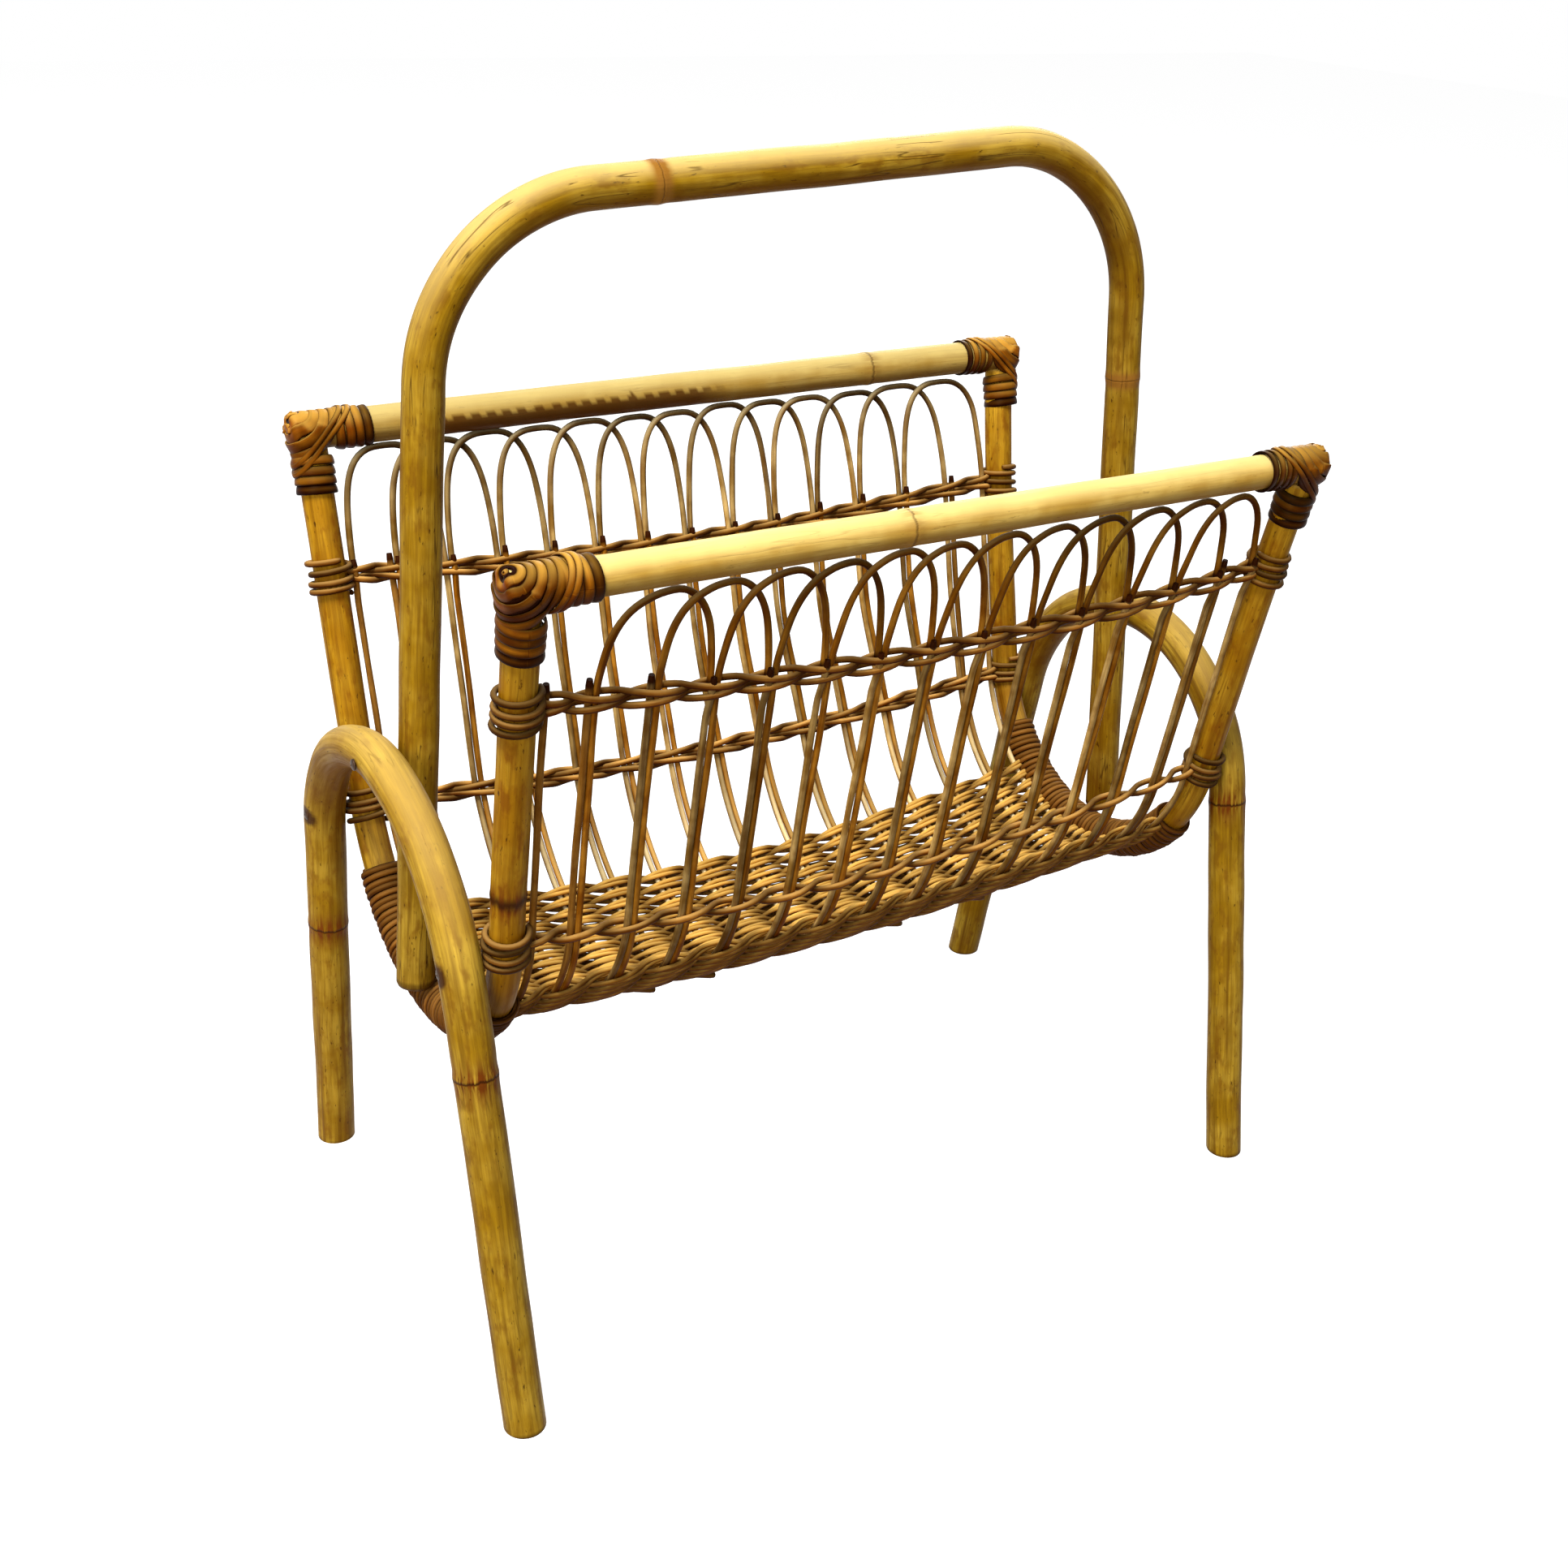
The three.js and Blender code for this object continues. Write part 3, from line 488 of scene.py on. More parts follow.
# for each finish its name, the look that it starts from and what it changes
finishes = {
    "rattan_pole": ("rattanPole", poleLook, {}),
    "rattan_handle": ("rattanHandle", poleLook, {
        "ringLine": 0.6, "ringStain": 6.6, "stain": 1.6, "line": 0.35, "ringJag": 1.2,
        "crack": 0.7, "ringCover": 0.85, "ringTint": (146, 98, 34), "paintedTopLight": 0.72, "pale": (226, 196, 120)}),
    "rattan_frame": ("rattanFrame", poleLook, {
        "base": (168, 116, 12), "light": (194, 146, 34), "dark": (96, 50, 3),
        "patch": (122, 66, 6), "ringLine": 5.0, "ringJag": 7.0, "ringStain": 14.0}),
    "rattan_rail": ("rattanRail", poleLook, {
        "base": (184, 143, 58), "light": (206, 171, 88), "dark": (138, 95, 30),
        "fibre": 0.3, "streak": 0.3, "mottle": 0.3, "fleck": 0.3, "patch": (168, 126, 50), "crack": 0.2,
        "paintedTopLight": 0.6, "pale": (240, 218, 142), "under": 0.7, "deep": (96, 54, 10),
        "ringTint": (150, 104, 44), "stain": 0.5, "ringStain": 9.0, "line": 0.55, "shadow": (84, 40, 6)}),
    "cane_dark": ("caneDark", caneLook, {}),
    "cane_light": ("caneLight", caneLook, {
        "base": (144, 104, 40), "light": (212, 174, 104), "dark": (64, 30, 4),
        "patch": (118, 68, 14), "paintedTopLight": 0.8, "pale": (254, 232, 176), "deep": (60, 22, 1)}),
    "cane_plain": ("canePlain", caneLook, {
        "base": (142, 92, 28), "light": (174, 124, 50), "dark": (74, 38, 5)}),
    "floor_weave": ("floorWeave", caneLook, {
        "base": (190, 130, 42), "light": (220, 166, 76), "dark": (116, 62, 10),
        "patch": (144, 84, 16), "pale": (228, 182, 92), "deep": (112, 54, 6),
        "shadow": (52, 14, 0), "rough": 0.5, "toneSpread": 0.6}),
    "floor_turns": ("floorTurns", caneLook, {
        "base": (150, 90, 24), "light": (180, 118, 44), "dark": (84, 36, 4),
        "patch": (120, 62, 10), "paintedTopLight": 0.5, "pale": (212, 154, 78), "deep": (84, 32, 2),
        "shadow": (44, 12, 0), "toneSpread": 0.6}),
    "band_weave": ("bandWeave", caneLook, {
        "base": (122, 66, 10), "light": (168, 110, 40), "dark": (52, 16, 1),
        "paintedTopLight": 0.65, "pale": (222, 172, 94),
        "shadow": (36, 9, 1), "rough": 0.46, "toneSpread": 0.7}),
    "peel": ("peelBinding", caneLook, {
        "base": (113, 53, 3), "light": (158, 96, 16), "dark": (50, 16, 1),
        "across": 500.0, "pale": (212, 166, 70), "deep": (56, 16, 0), "paintedTopLight": 0.5,
        "shadow": (30, 3, 0), "rough": 0.3, "coatRough": 0.16,
        "specular": 0.04, "glint": (1.0, 0.7, 0.35, 1.0), "toneSpread": 0.7}),
}
materials = {}
for key, (name, look, changes) in finishes.items():
    materials[key] = rattanMaterial(name, {**look, **changes})
print("materials ready")


# poles
poles = {
    "sides": 28,
    "step": 1.6,
    "wobble": 0.3,  # how far the axis wanders
    "wobbleLength": 170.0,
    "ease": 20.0,  # the ends stay in place
    "uneven": 0.016,  # share of the radius
    "unevenLength": 120.0,
    "ringSwell": 0.32,  # height of the ridge at a growth ring
    "ringReach": 2.4,
    "waistAt": 5.0,  # the pole is thinner beside the ridge
    "waistReach": 3.0,
    "rounding": 0.7,
    "cutReach": 40.0,
}


def resample(points, step):
    points = np.asarray(points, float)
    lengths = pathLengths(points)
    count = max(int(round(lengths[-1] / step)), 2)
    wanted = np.linspace(0, lengths[-1], count + 1)
    return np.stack([np.interp(wanted, lengths, points[:, axis]) for axis in range(3)], axis=1), wanted


# distance along a path of the place nearest to a point
def distanceAt(points, target):
    return float(pathLengths(points)[np.argmin(np.linalg.norm(points - np.asarray(target), axis=1))])


def addPole(name, path, radius, slotName, node, ringPlaces, seed, tones, wobble=poles["wobble"], cutZ=None,
            stain=None, finish=None):
    points, along = resample(path, poles["step"])
    rings = [distanceAt(points, place) for place in ringPlaces]
    ease = clamp(np.minimum(along, along[-1] - along) / poles["ease"])
    drift = np.stack([wander(seed + axis, along, poles["wobbleLength"]) for axis in range(3)], axis=1)
    points = points + drift * (wobble * ease)[:, None]
    angle = fullTurn(poles["sides"])
    uneven = poles["uneven"]
    radii = radius * (1 + uneven * 0.5 * wander(seed + 5, along, poles["unevenLength"]))[:, None]
    radii = radii * (1 + uneven * 0.5 * np.sin(2 * angle + seed)[None, :]
                     + uneven * 0.35 * np.sin(3 * angle[None, :] + along[:, None] / 90.0))
    for ring in rings:
        away = along - ring
        swell = poles["ringSwell"] * np.exp(-(away / poles["ringReach"]) ** 2)
        swell -= 0.4 * poles["ringSwell"] * np.exp(-((away - poles["waistAt"]) / poles["waistReach"]) ** 2)
        radii = radii + swell[:, None]
    pile = newPile()
    addTube(pile, points, radii, section=roundSection(poles["sides"]), rings=rings,
            tone=np.interp(along, (0, along[-1]), tones), offset=seed * 410.0, chamfer=poles["rounding"])
    # the stain function gives real stains, and on the handle also a painted shadow of the arch, as shade
    if stain is not None:
        around = pile["verts"][0].reshape(len(points), -1, 3) - points[:, None, :]
        pile["shade"][0] = clamp(stain(points, around, along)).reshape(-1)
    # feet are cut level: what lies below the cut is drawn up along the pole
    if cutZ is not None:
        verts = pile["verts"][0]
        for end, inner in ((0, 6), (-1, -7)):
            direction = points[end] - points[inner]
            low = (verts[:, 2] < cutZ) & (np.linalg.norm(verts - points[end], axis=1) < poles["cutReach"])
            verts[low] += direction * ((cutZ - verts[low, 2]) / direction[2])[:, None]
    finishPile(pile, name, slotName, node, finish)


# a path through corners that are rounded with one radius
def roundedPath(corners, radius):
    corners = [np.asarray(corner, float) for corner in corners]
    points = [corners[0]]
    for before, corner, after in zip(corners, corners[1:], corners[2:]):
        into = unit(before - corner)
        away = unit(after - corner)
        half = math.acos(float(np.clip(into.dot(away), -1, 1))) / 2
        centre = corner + unit(into + away) * radius / math.sin(half)
        first = corner + into * radius / math.tan(half) - centre
        last = corner + away * radius / math.tan(half) - centre
        sweep = math.pi - 2 * half
        for share in np.linspace(0, 1, 49):
            turned = math.sin((1 - share) * sweep) * first + math.sin(share * sweep) * last
            points.append(centre + turned / math.sin(sweep))
    points.append(corners[-1])
    return np.array(points)


def archPath(way):
    s = np.linspace(-4, arch["length"] + 4, 400)
    y, z = onPole(arch, s)
    return np.stack([way * (rack["footX"] - rack["archSplay"] * z), y, z], axis=1)


def framePath(way):
    start = rack["railRadius"] + 0.3
    s = np.linspace(start, trough["length"] - start, 400)
    points = wallPoint(way * rack["frameX"], s)
    points[:, 0] += flareX(way, points[:, 2])
    return points


def railPath(side):
    reach = rack["frameX"] + rack["frameRadius"]
    x = np.linspace(-reach, reach + rack["rightFlare"], 200)
    return np.stack([x, np.full_like(x, side * rack["railY"]), railZ(x, side)], axis=1)


def handlePath():
    halfRise = rack["handleRise"] / 2
    corners = [(-rack["handleFootX"], 0, rack["handleFootZ"]),
               (-rack["handleCornerX"], 0, rack["handleCornerZ"] - halfRise),
               (rack["handleCornerX"], 0, rack["handleCornerZ"] + halfRise),
               (rack["handleFootX"], 0, rack["handleFootZ"])]
    return roundedPath(corners, rack["handleBend"])


# stains on the poles, and a painted shadow of the arch on each handle post
stainsAndShade = {
    "postCut": 172.0,  # height below which the cut foot of a post is dark
    "archShadowTop": 232.0,  # and below which its inner side gets a painted shadow of the arch
    "postOver": 50.0,
    "bendX": 118.0,  # where the inner side of the right bend turns brown
    "bendZ": 380.0,
    "footEdge": 1.2,
    "nailReach": 6.2,  # of the dark ring round a leg's nail
    "nailSoft": 1.6,
    "nailShift": 1.2,  # to the front
    "sawLeft": -160.0,
    "sawRight": 24.0,
    "sawPitch": 8.6,
    "sawTall": 6.4,
    "sawTop": -5.0,  # from the axis to the gaps between the teeth
    "sawFront": 0.84,  # the direction in which the stain faces
    "sawUp": 0.55,
}


# the cut foot of a post is dark, the lower inner side of each post gets a painted shadow of the arch, and the
# inner side of the right bend is brown
def handleStainAndShade(points, around, along):
    x, z = points[:, 0], points[:, 2]
    foot = 0.5 * (z < stainsAndShade["postCut"])
    # painted shadow of the arch on the lower inner side of each post
    low = 0.4 * clamp((stainsAndShade["archShadowTop"] - z) / stainsAndShade["postOver"])
    inside = np.clip(0.5 - np.sign(points[:, :1]) * around[:, :, 0] / rack["handleRadius"], 0.2, 1)
    bend = clamp((x - stainsAndShade["bendX"]) / 30) * clamp((z - stainsAndShade["bendZ"]) / 60)
    inner = clamp(-(around[:, :, 0] + 0.4 * around[:, :, 2]) / rack["handleRadius"] - 0.1)
    patches = 0.7 + 0.3 * wander(77, along, 35.0)
    return foot[:, None] + low[:, None] * inside + 0.55 * (bend * patches)[:, None] * inner


# the cane round each nail of a leg is crushed and dark, and so is the edge of its foot
def legStain(points, around, along):
    places = points[:, None, :] + around
    end = "left" if points[0, 0] < 0 else "right"
    stain = 0.6 * (places[:, :, 2] < stainsAndShade["footEdge"])
    for wall in ("front", "back"):
        low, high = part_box(f"arch_nail_{wall}_{end}")
        middle = (low + high) / 2 / mm
        distance = np.hypot(places[:, :, 1] - middle.y + stainsAndShade["nailShift"], places[:, :, 2] - middle.z)
        outer = np.sign(middle.x) * around[:, :, 0] > 2
        mark = clamp((stainsAndShade["nailReach"] - distance) / stainsAndShade["nailSoft"])
        stain = np.maximum(stain, mark * outer)
    return 0.95 * stain


# a brown stain with a saw-toothed edge along the lower side of the back rail
def sawStain(points, around, along):
    x = points[:, 0]
    tooth = np.abs((x / stainsAndShade["sawPitch"] + 0.1 * np.sin(x / 9.0)) % 1.0 - 0.5) * stainsAndShade["sawTall"]
    reach = clamp(np.minimum(x - stainsAndShade["sawLeft"], stainsAndShade["sawRight"] - x) / 20)
    front, up = stainsAndShade["sawFront"], stainsAndShade["sawUp"]
    facing = up * around[:, :, 2] - front * around[:, :, 1]
    height = front * around[:, :, 2] + up * around[:, :, 1]
    return 0.85 * reach[:, None] * ((height < tooth[:, None] + stainsAndShade["sawTop"]) & (facing > -5))


addPole("handlePole", handlePath(), rack["handleRadius"], "rattan_pole", "carry_handle",
        [(-80, 0, 530), (192, 0, 420)], seed=3, tones=(0.2, 0.5), stain=handleStainAndShade, finish="rattan_handle")
addPole("archLeft", archPath(-1), rack["archRadius"], "rattan_pole", "leg_arch_left",
        [(-222, -97, 177), (-222, 102, 155)], seed=11, tones=(0.1, 1.15), cutZ=0.05, stain=legStain)
addPole("archRight", archPath(1), rack["archRadius"], "rattan_pole", "leg_arch_right",
        [(221, -92, 208), (222, 120, 60)], seed=17, tones=(0.1, 0.6), cutZ=0.05, stain=legStain)
addPole("frameLeft", framePath(-1), rack["frameRadius"], "rattan_frame", "end_frame_left",
        [tuple(wallPoint(-200, 148))], seed=23, tones=(0.42, 0.42), wobble=0.15)
addPole("frameRight", framePath(1), rack["frameRadius"], "rattan_frame", "end_frame_right",
        [tuple(wallPoint(200, 330))], seed=29, tones=(0.42, 0.42), wobble=0.15)
addPole("railFront", railPath(-1), rack["railRadius"], "rattan_rail", "rail_front",
        [(-27, -123.5, 405)], seed=31, tones=(0.65, 0.65), wobble=0.2)
addPole("railBack", railPath(1), rack["railRadius"] + 0.6, "rattan_rail", "rail_back",
        [(113, 123.5, 405)], seed=37, tones=(-0.3, -0.1), wobble=0.2, stain=sawStain)
print("poles made")


# canes
canes = {
    "sides": 10,
    "step": 3.0,
    "wander": 0.45,
    "apex": 11.4,  # from the rail's axis to the top of a loop
    "fullness": {"front": 2.5, "back": 3.1},
    "sway": 1.9,  # in front of one neighbour and behind the next
    "stub": 9.0,  # free end, above the middle of the band
    "endSpread": 1.5,  # how unevenly the free ends are cut
    "apexSpread": 1.4,
    "leanSpread": 1.2,
    "footRise": 4.0,  # the legs of a loop meet its arch this far above the band
    "tailRise": 0.5,
    "aside": 2.5,  # how far a stub stands off in front of the leg of a loop
    "darkFrom": 330.0,  # loops darken from this height to their tops
    "darkOver": 70.0,
}
# distances of each line from its rail, at the frames and at the middle
bandLines = {
    "upperFront": (53.0, 66.0), "upperBack": (70.0, 79.0),
    "lowerFront": (175.0, 190.0), "lowerBack": (184.0, 194.0),
    "floorFront": (217.0, 220.0), "floorBack": (240.0, 253.0),
}
lastPlace = 14


# distance from the rail of a line that sags between the end frames
def sagLine(key, x):
    atFrames, atMiddle = bandLines[key]
    return atMiddle + (atFrames - atMiddle) * (np.asarray(x, float) / rack["frameX"]) ** 2


def placeX(place):
    if place == 0:
        return -rack["endPlaceX"]
    if place == lastPlace:
        return rack["endPlaceX"]
    return (place - lastPlace / 2) * rack["canePitch"]


def caneX(place, way):
    if place in (0, lastPlace):
        return placeX(place)
    return placeX(place) + way * rack["caneStep"] / 2


# distance from the rail of a place above the upper band
def aboveBand(wall, x, rise):
    return sagLine("upperFront" if wall == "front" else "upperBack", x) - rise


# whether a loop of this wall comes down at a place
def loopEndsAt(place, wall):
    return place > 2 if wall == "front" else place < lastPlace - 1


# the arch of a loop from a cane to the next place but one, and its cut tail
def loopPath(place, wall, way, rng):
    startX = caneX(place, way)
    endX = caneX(place + 2 * way, -way)
    angle = np.linspace(0, math.pi, 45)[1:]
    power = 2 / canes["fullness"][wall]
    across = np.sign(np.cos(angle)) * np.abs(np.cos(angle)) ** power
    up = np.sin(angle) ** power
    x = (startX + endX) / 2 - (endX - startX) / 2 * across
    foot = aboveBand(wall, x, canes["footRise"])
    apex = canes["apex"] + rng.uniform(0, canes["apexSpread"])
    lean = rng.uniform(-canes["leanSpread"], canes["leanSpread"]) * up
    s = fromRail(wall, foot - (foot - apex) * up)
    side = np.sin(math.pi / 2 * np.clip(1.4 * np.sin(2 * angle), -1, 1))
    tail = wallPoint(endX, fromRail(wall, aboveBand(wall, endX, canes["tailRise"])))
    return np.concatenate([wallPoint(x + lean, s, canes["sway"] * side), tail[None, :]])


def addCane(name, node, slotName, place, wall, loop, seed):
    rng = random.Random(seed)
    spread = canes["endSpread"]
    way = 1 if wall == "front" else -1
    other = "back" if wall == "front" else "front"
    x = caneX(place, way)
    # where a loop comes down, the end of this cane stands off a little in front of its leg
    shared = loopEndsAt(place, other)
    stub = canes["stub"] + rng.uniform(-spread, spread) - (1.5 if shared else 0)
    start = fromRail(other, aboveBand(other, x, stub))
    rise = canes["footRise"] if loop else canes["stub"] + rng.uniform(-spread, spread)
    foot = fromRail(wall, aboveBand(wall, x, rise))
    s = np.linspace(start, foot, int(abs(foot - start) / canes["step"]))
    drift = canes["wander"] * wander(seed, s, 240.0)
    xs = x + drift * clamp(np.abs(s - foot) / 30.0)
    aside = clamp(1.5 - np.abs(s - start) / 14.0) * (-way * canes["aside"] if shared else 0)
    points = wallPoint(xs, s, 0.25 * wander(seed + 1, s, 180.0) + aside)
    if loop:
        points = np.concatenate([points, loopPath(place, wall, way, rng)])
    points, along = resample(points, canes["step"])
    radii = rack["caneRadius"] * (1 + 0.05 * wander(seed + 2, along, 70.0))
    # loops darken towards their tops, and cut ends are dark
    shade = 0.75 * clamp((points[:, 2] - canes["darkFrom"]) / canes["darkOver"])
    shade[:2] = 1
    shade[-2:] = 1
    pile = newPile()
    addTube(pile, points, radii, section=roundSection(canes["sides"]), tone=rng.uniform(0.1, 0.9),
            shade=shade, offset=seed * 733.0)
    finishPile(pile, name, slotName, node)


for place in range(1, lastPlace - 1):
    addCane(f"frontLoop{place:02d}", f"front_loop_cane_{place:02d}", "cane_dark", place, "front", True,
            100 + place)
for place in range(2, lastPlace + 1):
    addCane(f"backLoop{place:02d}", f"back_loop_cane_{place:02d}", "cane_light", place, "back", True,
            200 + place)
for place, wall, seed in ((0, "front", 301), (1, "back", 302), (13, "front", 303)):
    addCane(f"plainCane{place:02d}", f"plain_cane_{place:02d}", "cane_plain", place, wall, False, seed)
print("canes made")


# twined rows: strands that pass before one pair of canes and behind the next
twine = {
    "step": 2.4,
    "strandRadius": 1.5,
    "over": 3.0,  # from the wall to the middle of a strand that passes a cane
    "pairGap": 1.15,  # from the middle of a pair of strands to each of them
    "pairCross": 0.9,  # how far one lies in front of the other between two canes
    "driftAlong": 0.22,
    "driftOut": 0.12,
    "paintedShade": 0.95,  # painted shade where a strand dives between two canes
    "rowReach": 195.0,
}
canePlaces = [placeX(place) for place in range(lastPlace + 1)]
placeMarks = np.array([-rack["frameX"], *canePlaces, rack["frameX"]])


def twinePhase(x):
    return math.pi * np.interp(x, placeMarks, np.arange(len(placeMarks)) - 1)


def triangleWave(phase):
    return (2 / math.pi) * np.arcsin(np.sin(phase) * 0.985)


# one strand of a row: line gives the distance from the front rail at each x
def addTwineStrand(pile, line, phase, lift, radius, twist, seed, member=0, outerShade=0.0):
    rng = random.Random(seed)
    reach = twine["rowReach"]
    x = np.linspace(-reach, reach, int(2 * reach / twine["step"]))
    turn = twinePhase(x) + phase
    front = np.sign(np.cos(turn)) * np.abs(np.cos(turn)) ** 0.75
    crossing = np.sin(turn) ** 2
    s = line(x) + twist * lift * triangleWave(turn) + twine["driftAlong"] * wander(seed, x, 90.0)
    off = twine["over"] * front + twine["driftOut"] * wander(seed + 1, x, 60.0)
    if member:
        s = s + member * twine["pairGap"] * (1 - 0.4 * crossing)
        off = off + member * twine["pairCross"] * crossing * np.sign(np.sin(turn) + 1e-9)
    radii = radius * (1 + 0.06 * wander(seed + 2, x, 50.0))
    addTube(pile, wallPoint(x, s, off), radii * 0.95, radii * 1.08, section=roundSection(7),
            guide=wallOut(x, s), tone=rng.uniform(0.05, 0.95),
            shade=twine["paintedShade"] * clamp(crossing - 0.3) + outerShade * clamp(front), offset=seed * 91.0)


# turns round an end frame, from one distance along the wall to another
def addFrameTurns(pile, way, start, end, wrap, seed, tone):
    loose = wrap["loose"]
    turns = max((end - start) / wrap["pitch"], 1.0)
    rng = random.Random(seed)
    count = int(turns * 26)
    angle = np.linspace(0, 2 * math.pi * turns, count)
    s = np.linspace(start, end, count) + loose * np.sin(angle * 0.37 + seed)
    reach = rack["wrapRadius"] + loose * (0.4 + wander(seed, angle, 9.0))
    x = way * (rack["frameX"] - reach * np.cos(angle))
    off = reach * np.sin(angle)
    points = wallPoint(x, s, off)
    axis = wallPoint(np.full_like(x, way * rack["frameX"]), s)
    tones = tone + wrap["spread"] * np.sin(np.floor(angle / (2 * math.pi)) * 2.4 + seed)
    addTube(pile, points, wrap["thick"], wrap["wide"], section=roundSection(8), guide=points - axis,
            tone=tones, shade=0.2 + 0.1 * rng.random(), offset=seed * 57.0, edge=wrap["edge"])


floorSpec = {
    "rows": 21,
    "strandRadius": 1.18,
    "lift": 1.5,
    "paintedShade": 0.64,  # painted shade on the outer side of a strand
    "cutEnds": ((-118.0, 262.0), (-84.0, 263.0), (30.0, 264.0), (84.0, 263.0)),
    "cutRadius": 1.8,
    "wrapStart": 217.0,
    "wrap": {"pitch": 3.6, "wide": 1.75, "thick": 1.3, "loose": 0.25, "spread": 0.25, "edge": 0.9},
}


def makeFloor():
    pile = newPile()
    for row in range(floorSpec["rows"]):
        share = (row + 0.5) / floorSpec["rows"]

        def line(x, share=share):
            front = sagLine("floorFront", x)
            back = trough["length"] - sagLine("floorBack", x)
            return front + share * (back - front)

        for strand in range(4):
            addTwineStrand(pile, line, math.pi * (strand // 2), floorSpec["lift"], floorSpec["strandRadius"],
                           -1, 1000 + row * 4 + strand, member=1 if strand % 2 else -1,
                           outerShade=floorSpec["paintedShade"])
    # cut ends of strands that stand out under the front edge
    for number, (x, s) in enumerate(floorSpec["cutEnds"]):
        along = np.linspace(0, 1, 7)
        points = wallPoint(x + 13 * along, s + 2 * along, 2.0 + 3.3 * along)
        addTube(pile, points, floorSpec["cutRadius"], section=roundSection(8), tone=0.2, shade=0.75,
                offset=number * 60.0)
    finishPile(pile, "floorRows", "floor_weave", "woven_floor")
    start = floorSpec["wrapStart"]
    for way, end in ((-1, "Left"), (1, "Right")):
        turns = newPile()
        addFrameTurns(turns, way, start, trough["length"] - start, floorSpec["wrap"], 40 + way, -0.05)
        finishPile(turns, f"floorTurns{end}", "floor_weave", "woven_floor", "floor_turns")


makeFloor()
print("floor made")

bands = {
    "rowGap": 4.3,
    "lift": 1.45,
    "singleLift": 2.1,  # in a band of one row
    "singleRadius": 1.6,
    "turnRise": 7.5,  # the turns begin this far above the band at the frames
    "turnFall": 10.0,
    "turnTone": {"front": -0.2, "back": 0.1},
    "wrap": {"pitch": 4.6, "wide": 1.5, "thick": 1.4, "loose": 0.6, "spread": 0.35, "edge": 0.0},
}


def makeBand(name, node, key, wall, rows, seed):
    pile = newPile()
    for row in range(rows):
        shift = (row - (rows - 1) / 2) * bands["rowGap"]
        twist = 1 if (row == 0 and rows > 1) else -1
        if wall == "back":
            twist = -twist

        def line(x, shift=shift):
            return fromRail(wall, sagLine(key, x) + shift)

        lift = bands["lift"] if rows > 1 else bands["singleLift"]
        radius = twine["strandRadius"] if rows > 1 else bands["singleRadius"]
        for strand in range(2):
            addTwineStrand(pile, line, math.pi * strand, lift, radius, twist, seed + row * 2 + strand)
    atFrames = bandLines[key][0]
    for way in (-1, 1):
        start = fromRail(wall, atFrames - bands["turnRise"])
        end = fromRail(wall, atFrames + bands["turnFall"])
        addFrameTurns(pile, way, min(start, end), max(start, end), bands["wrap"], seed + 20 + way,
                      bands["turnTone"][wall])
    finishPile(pile, name, "band_weave", node)


makeBand("upperBandFront", "upper_band_front", "upperFront", "front", 2, 400)
makeBand("upperBandBack", "upper_band_back", "upperBack", "back", 2, 440)
makeBand("lowerBandFront", "lower_band_front", "lowerFront", "front", 1, 480)
makeBand("lowerBandBack", "lower_band_back", "lowerBack", "back", 2, 520)
print("bands made")


# peel bindings at the corners of the rim: each loop of peel has a distance from the apex of the corner,
# half a width, a lift and the painted shade of its edges, and straight strips go over the loops
binding = {
    "thick": 0.7,
    "wide": 2.3,
    "ringed": ((2.0, 1.7, 0.9, 0.9), (5.0, 2.0, 0.9, 0.9), (8.6, 2.2, 0.95, 0.9), (12.4, 2.4, 1.0, 0.9),
               (16.4, 2.4, 1.1, 0.95), (20.0, 2.2, 1.2, 0.95)),
    "smooth": ((2.4, 2.6, 0.7, 0.15), (6.2, 3.0, 0.75, 0.2), (10.4, 3.0, 0.8, 0.3), (14.4, 2.8, 0.85, 0.5),
               (18.4, 2.5, 0.95, 0.9)),
    # lower loops, painted dark as the shade in the gaps between the strips over them
    "under": (3.6, 7.0, 10.6, 14.2, 18.2),
    "underShape": (2.3, 0.35, 1.0),  # half width, lift and edge of the lower loops, which are painted dark as shade
    "straight": ((4.4, 1.35, 1.9, 0.95), (7.3, 1.35, 1.9, 0.95)),
    "slanted": (13.0, 16.0),
    "slantedWide": 1.5,
    "slantedRise": 1.7,
    "slant": 4.6,
    "darker": {("front", 1): -0.5, ("front", -1): -0.12},
    "turnStart": 11.6,
    "turnEnd": 29.0,
    "turns": 4,
    "radius": 8.75,
    "tilt": 0.2,
    "blend": 4.0,
}


# distance from the skin of the two poles that meet at a corner, blended where they meet
def cornerSkin(q, corner):
    inward, down = corner["inward"], corner["down"]
    a = q @ inward
    railSide = np.linalg.norm(q - a[:, None] * inward, axis=1) - rack["railRadius"]
    railEnd = -rack["frameRadius"] - a
    rail = np.hypot(np.maximum(railSide + 1.5, 0), np.maximum(railEnd + 1.5, 0)) - 1.5
    rail = rail + np.minimum(np.maximum(railSide, railEnd) + 1.5, 0)
    b = q @ down
    armSide = np.linalg.norm(q - b[:, None] * down, axis=1) - rack["frameRadius"]
    arm = np.maximum(armSide, -b)
    share = clamp(0.5 + 0.5 * (arm - rail) / binding["blend"])
    return arm + (rail - arm) * share - binding["blend"] * share * (1 - share)


def skinNormal(q, corner):
    columns = []
    for axis in range(3):
        step = np.zeros(3)
        step[axis] = 0.05
        columns.append(cornerSkin(q + step, corner) - cornerSkin(q - step, corner))
    return unit(np.stack(columns, axis=1))


def cornerPoint(way, side):
    x = way * rack["frameX"]
    return np.array([x + float(flareX(way, rack["rimZ"])), side * rack["railY"], float(railZ(x, side))])


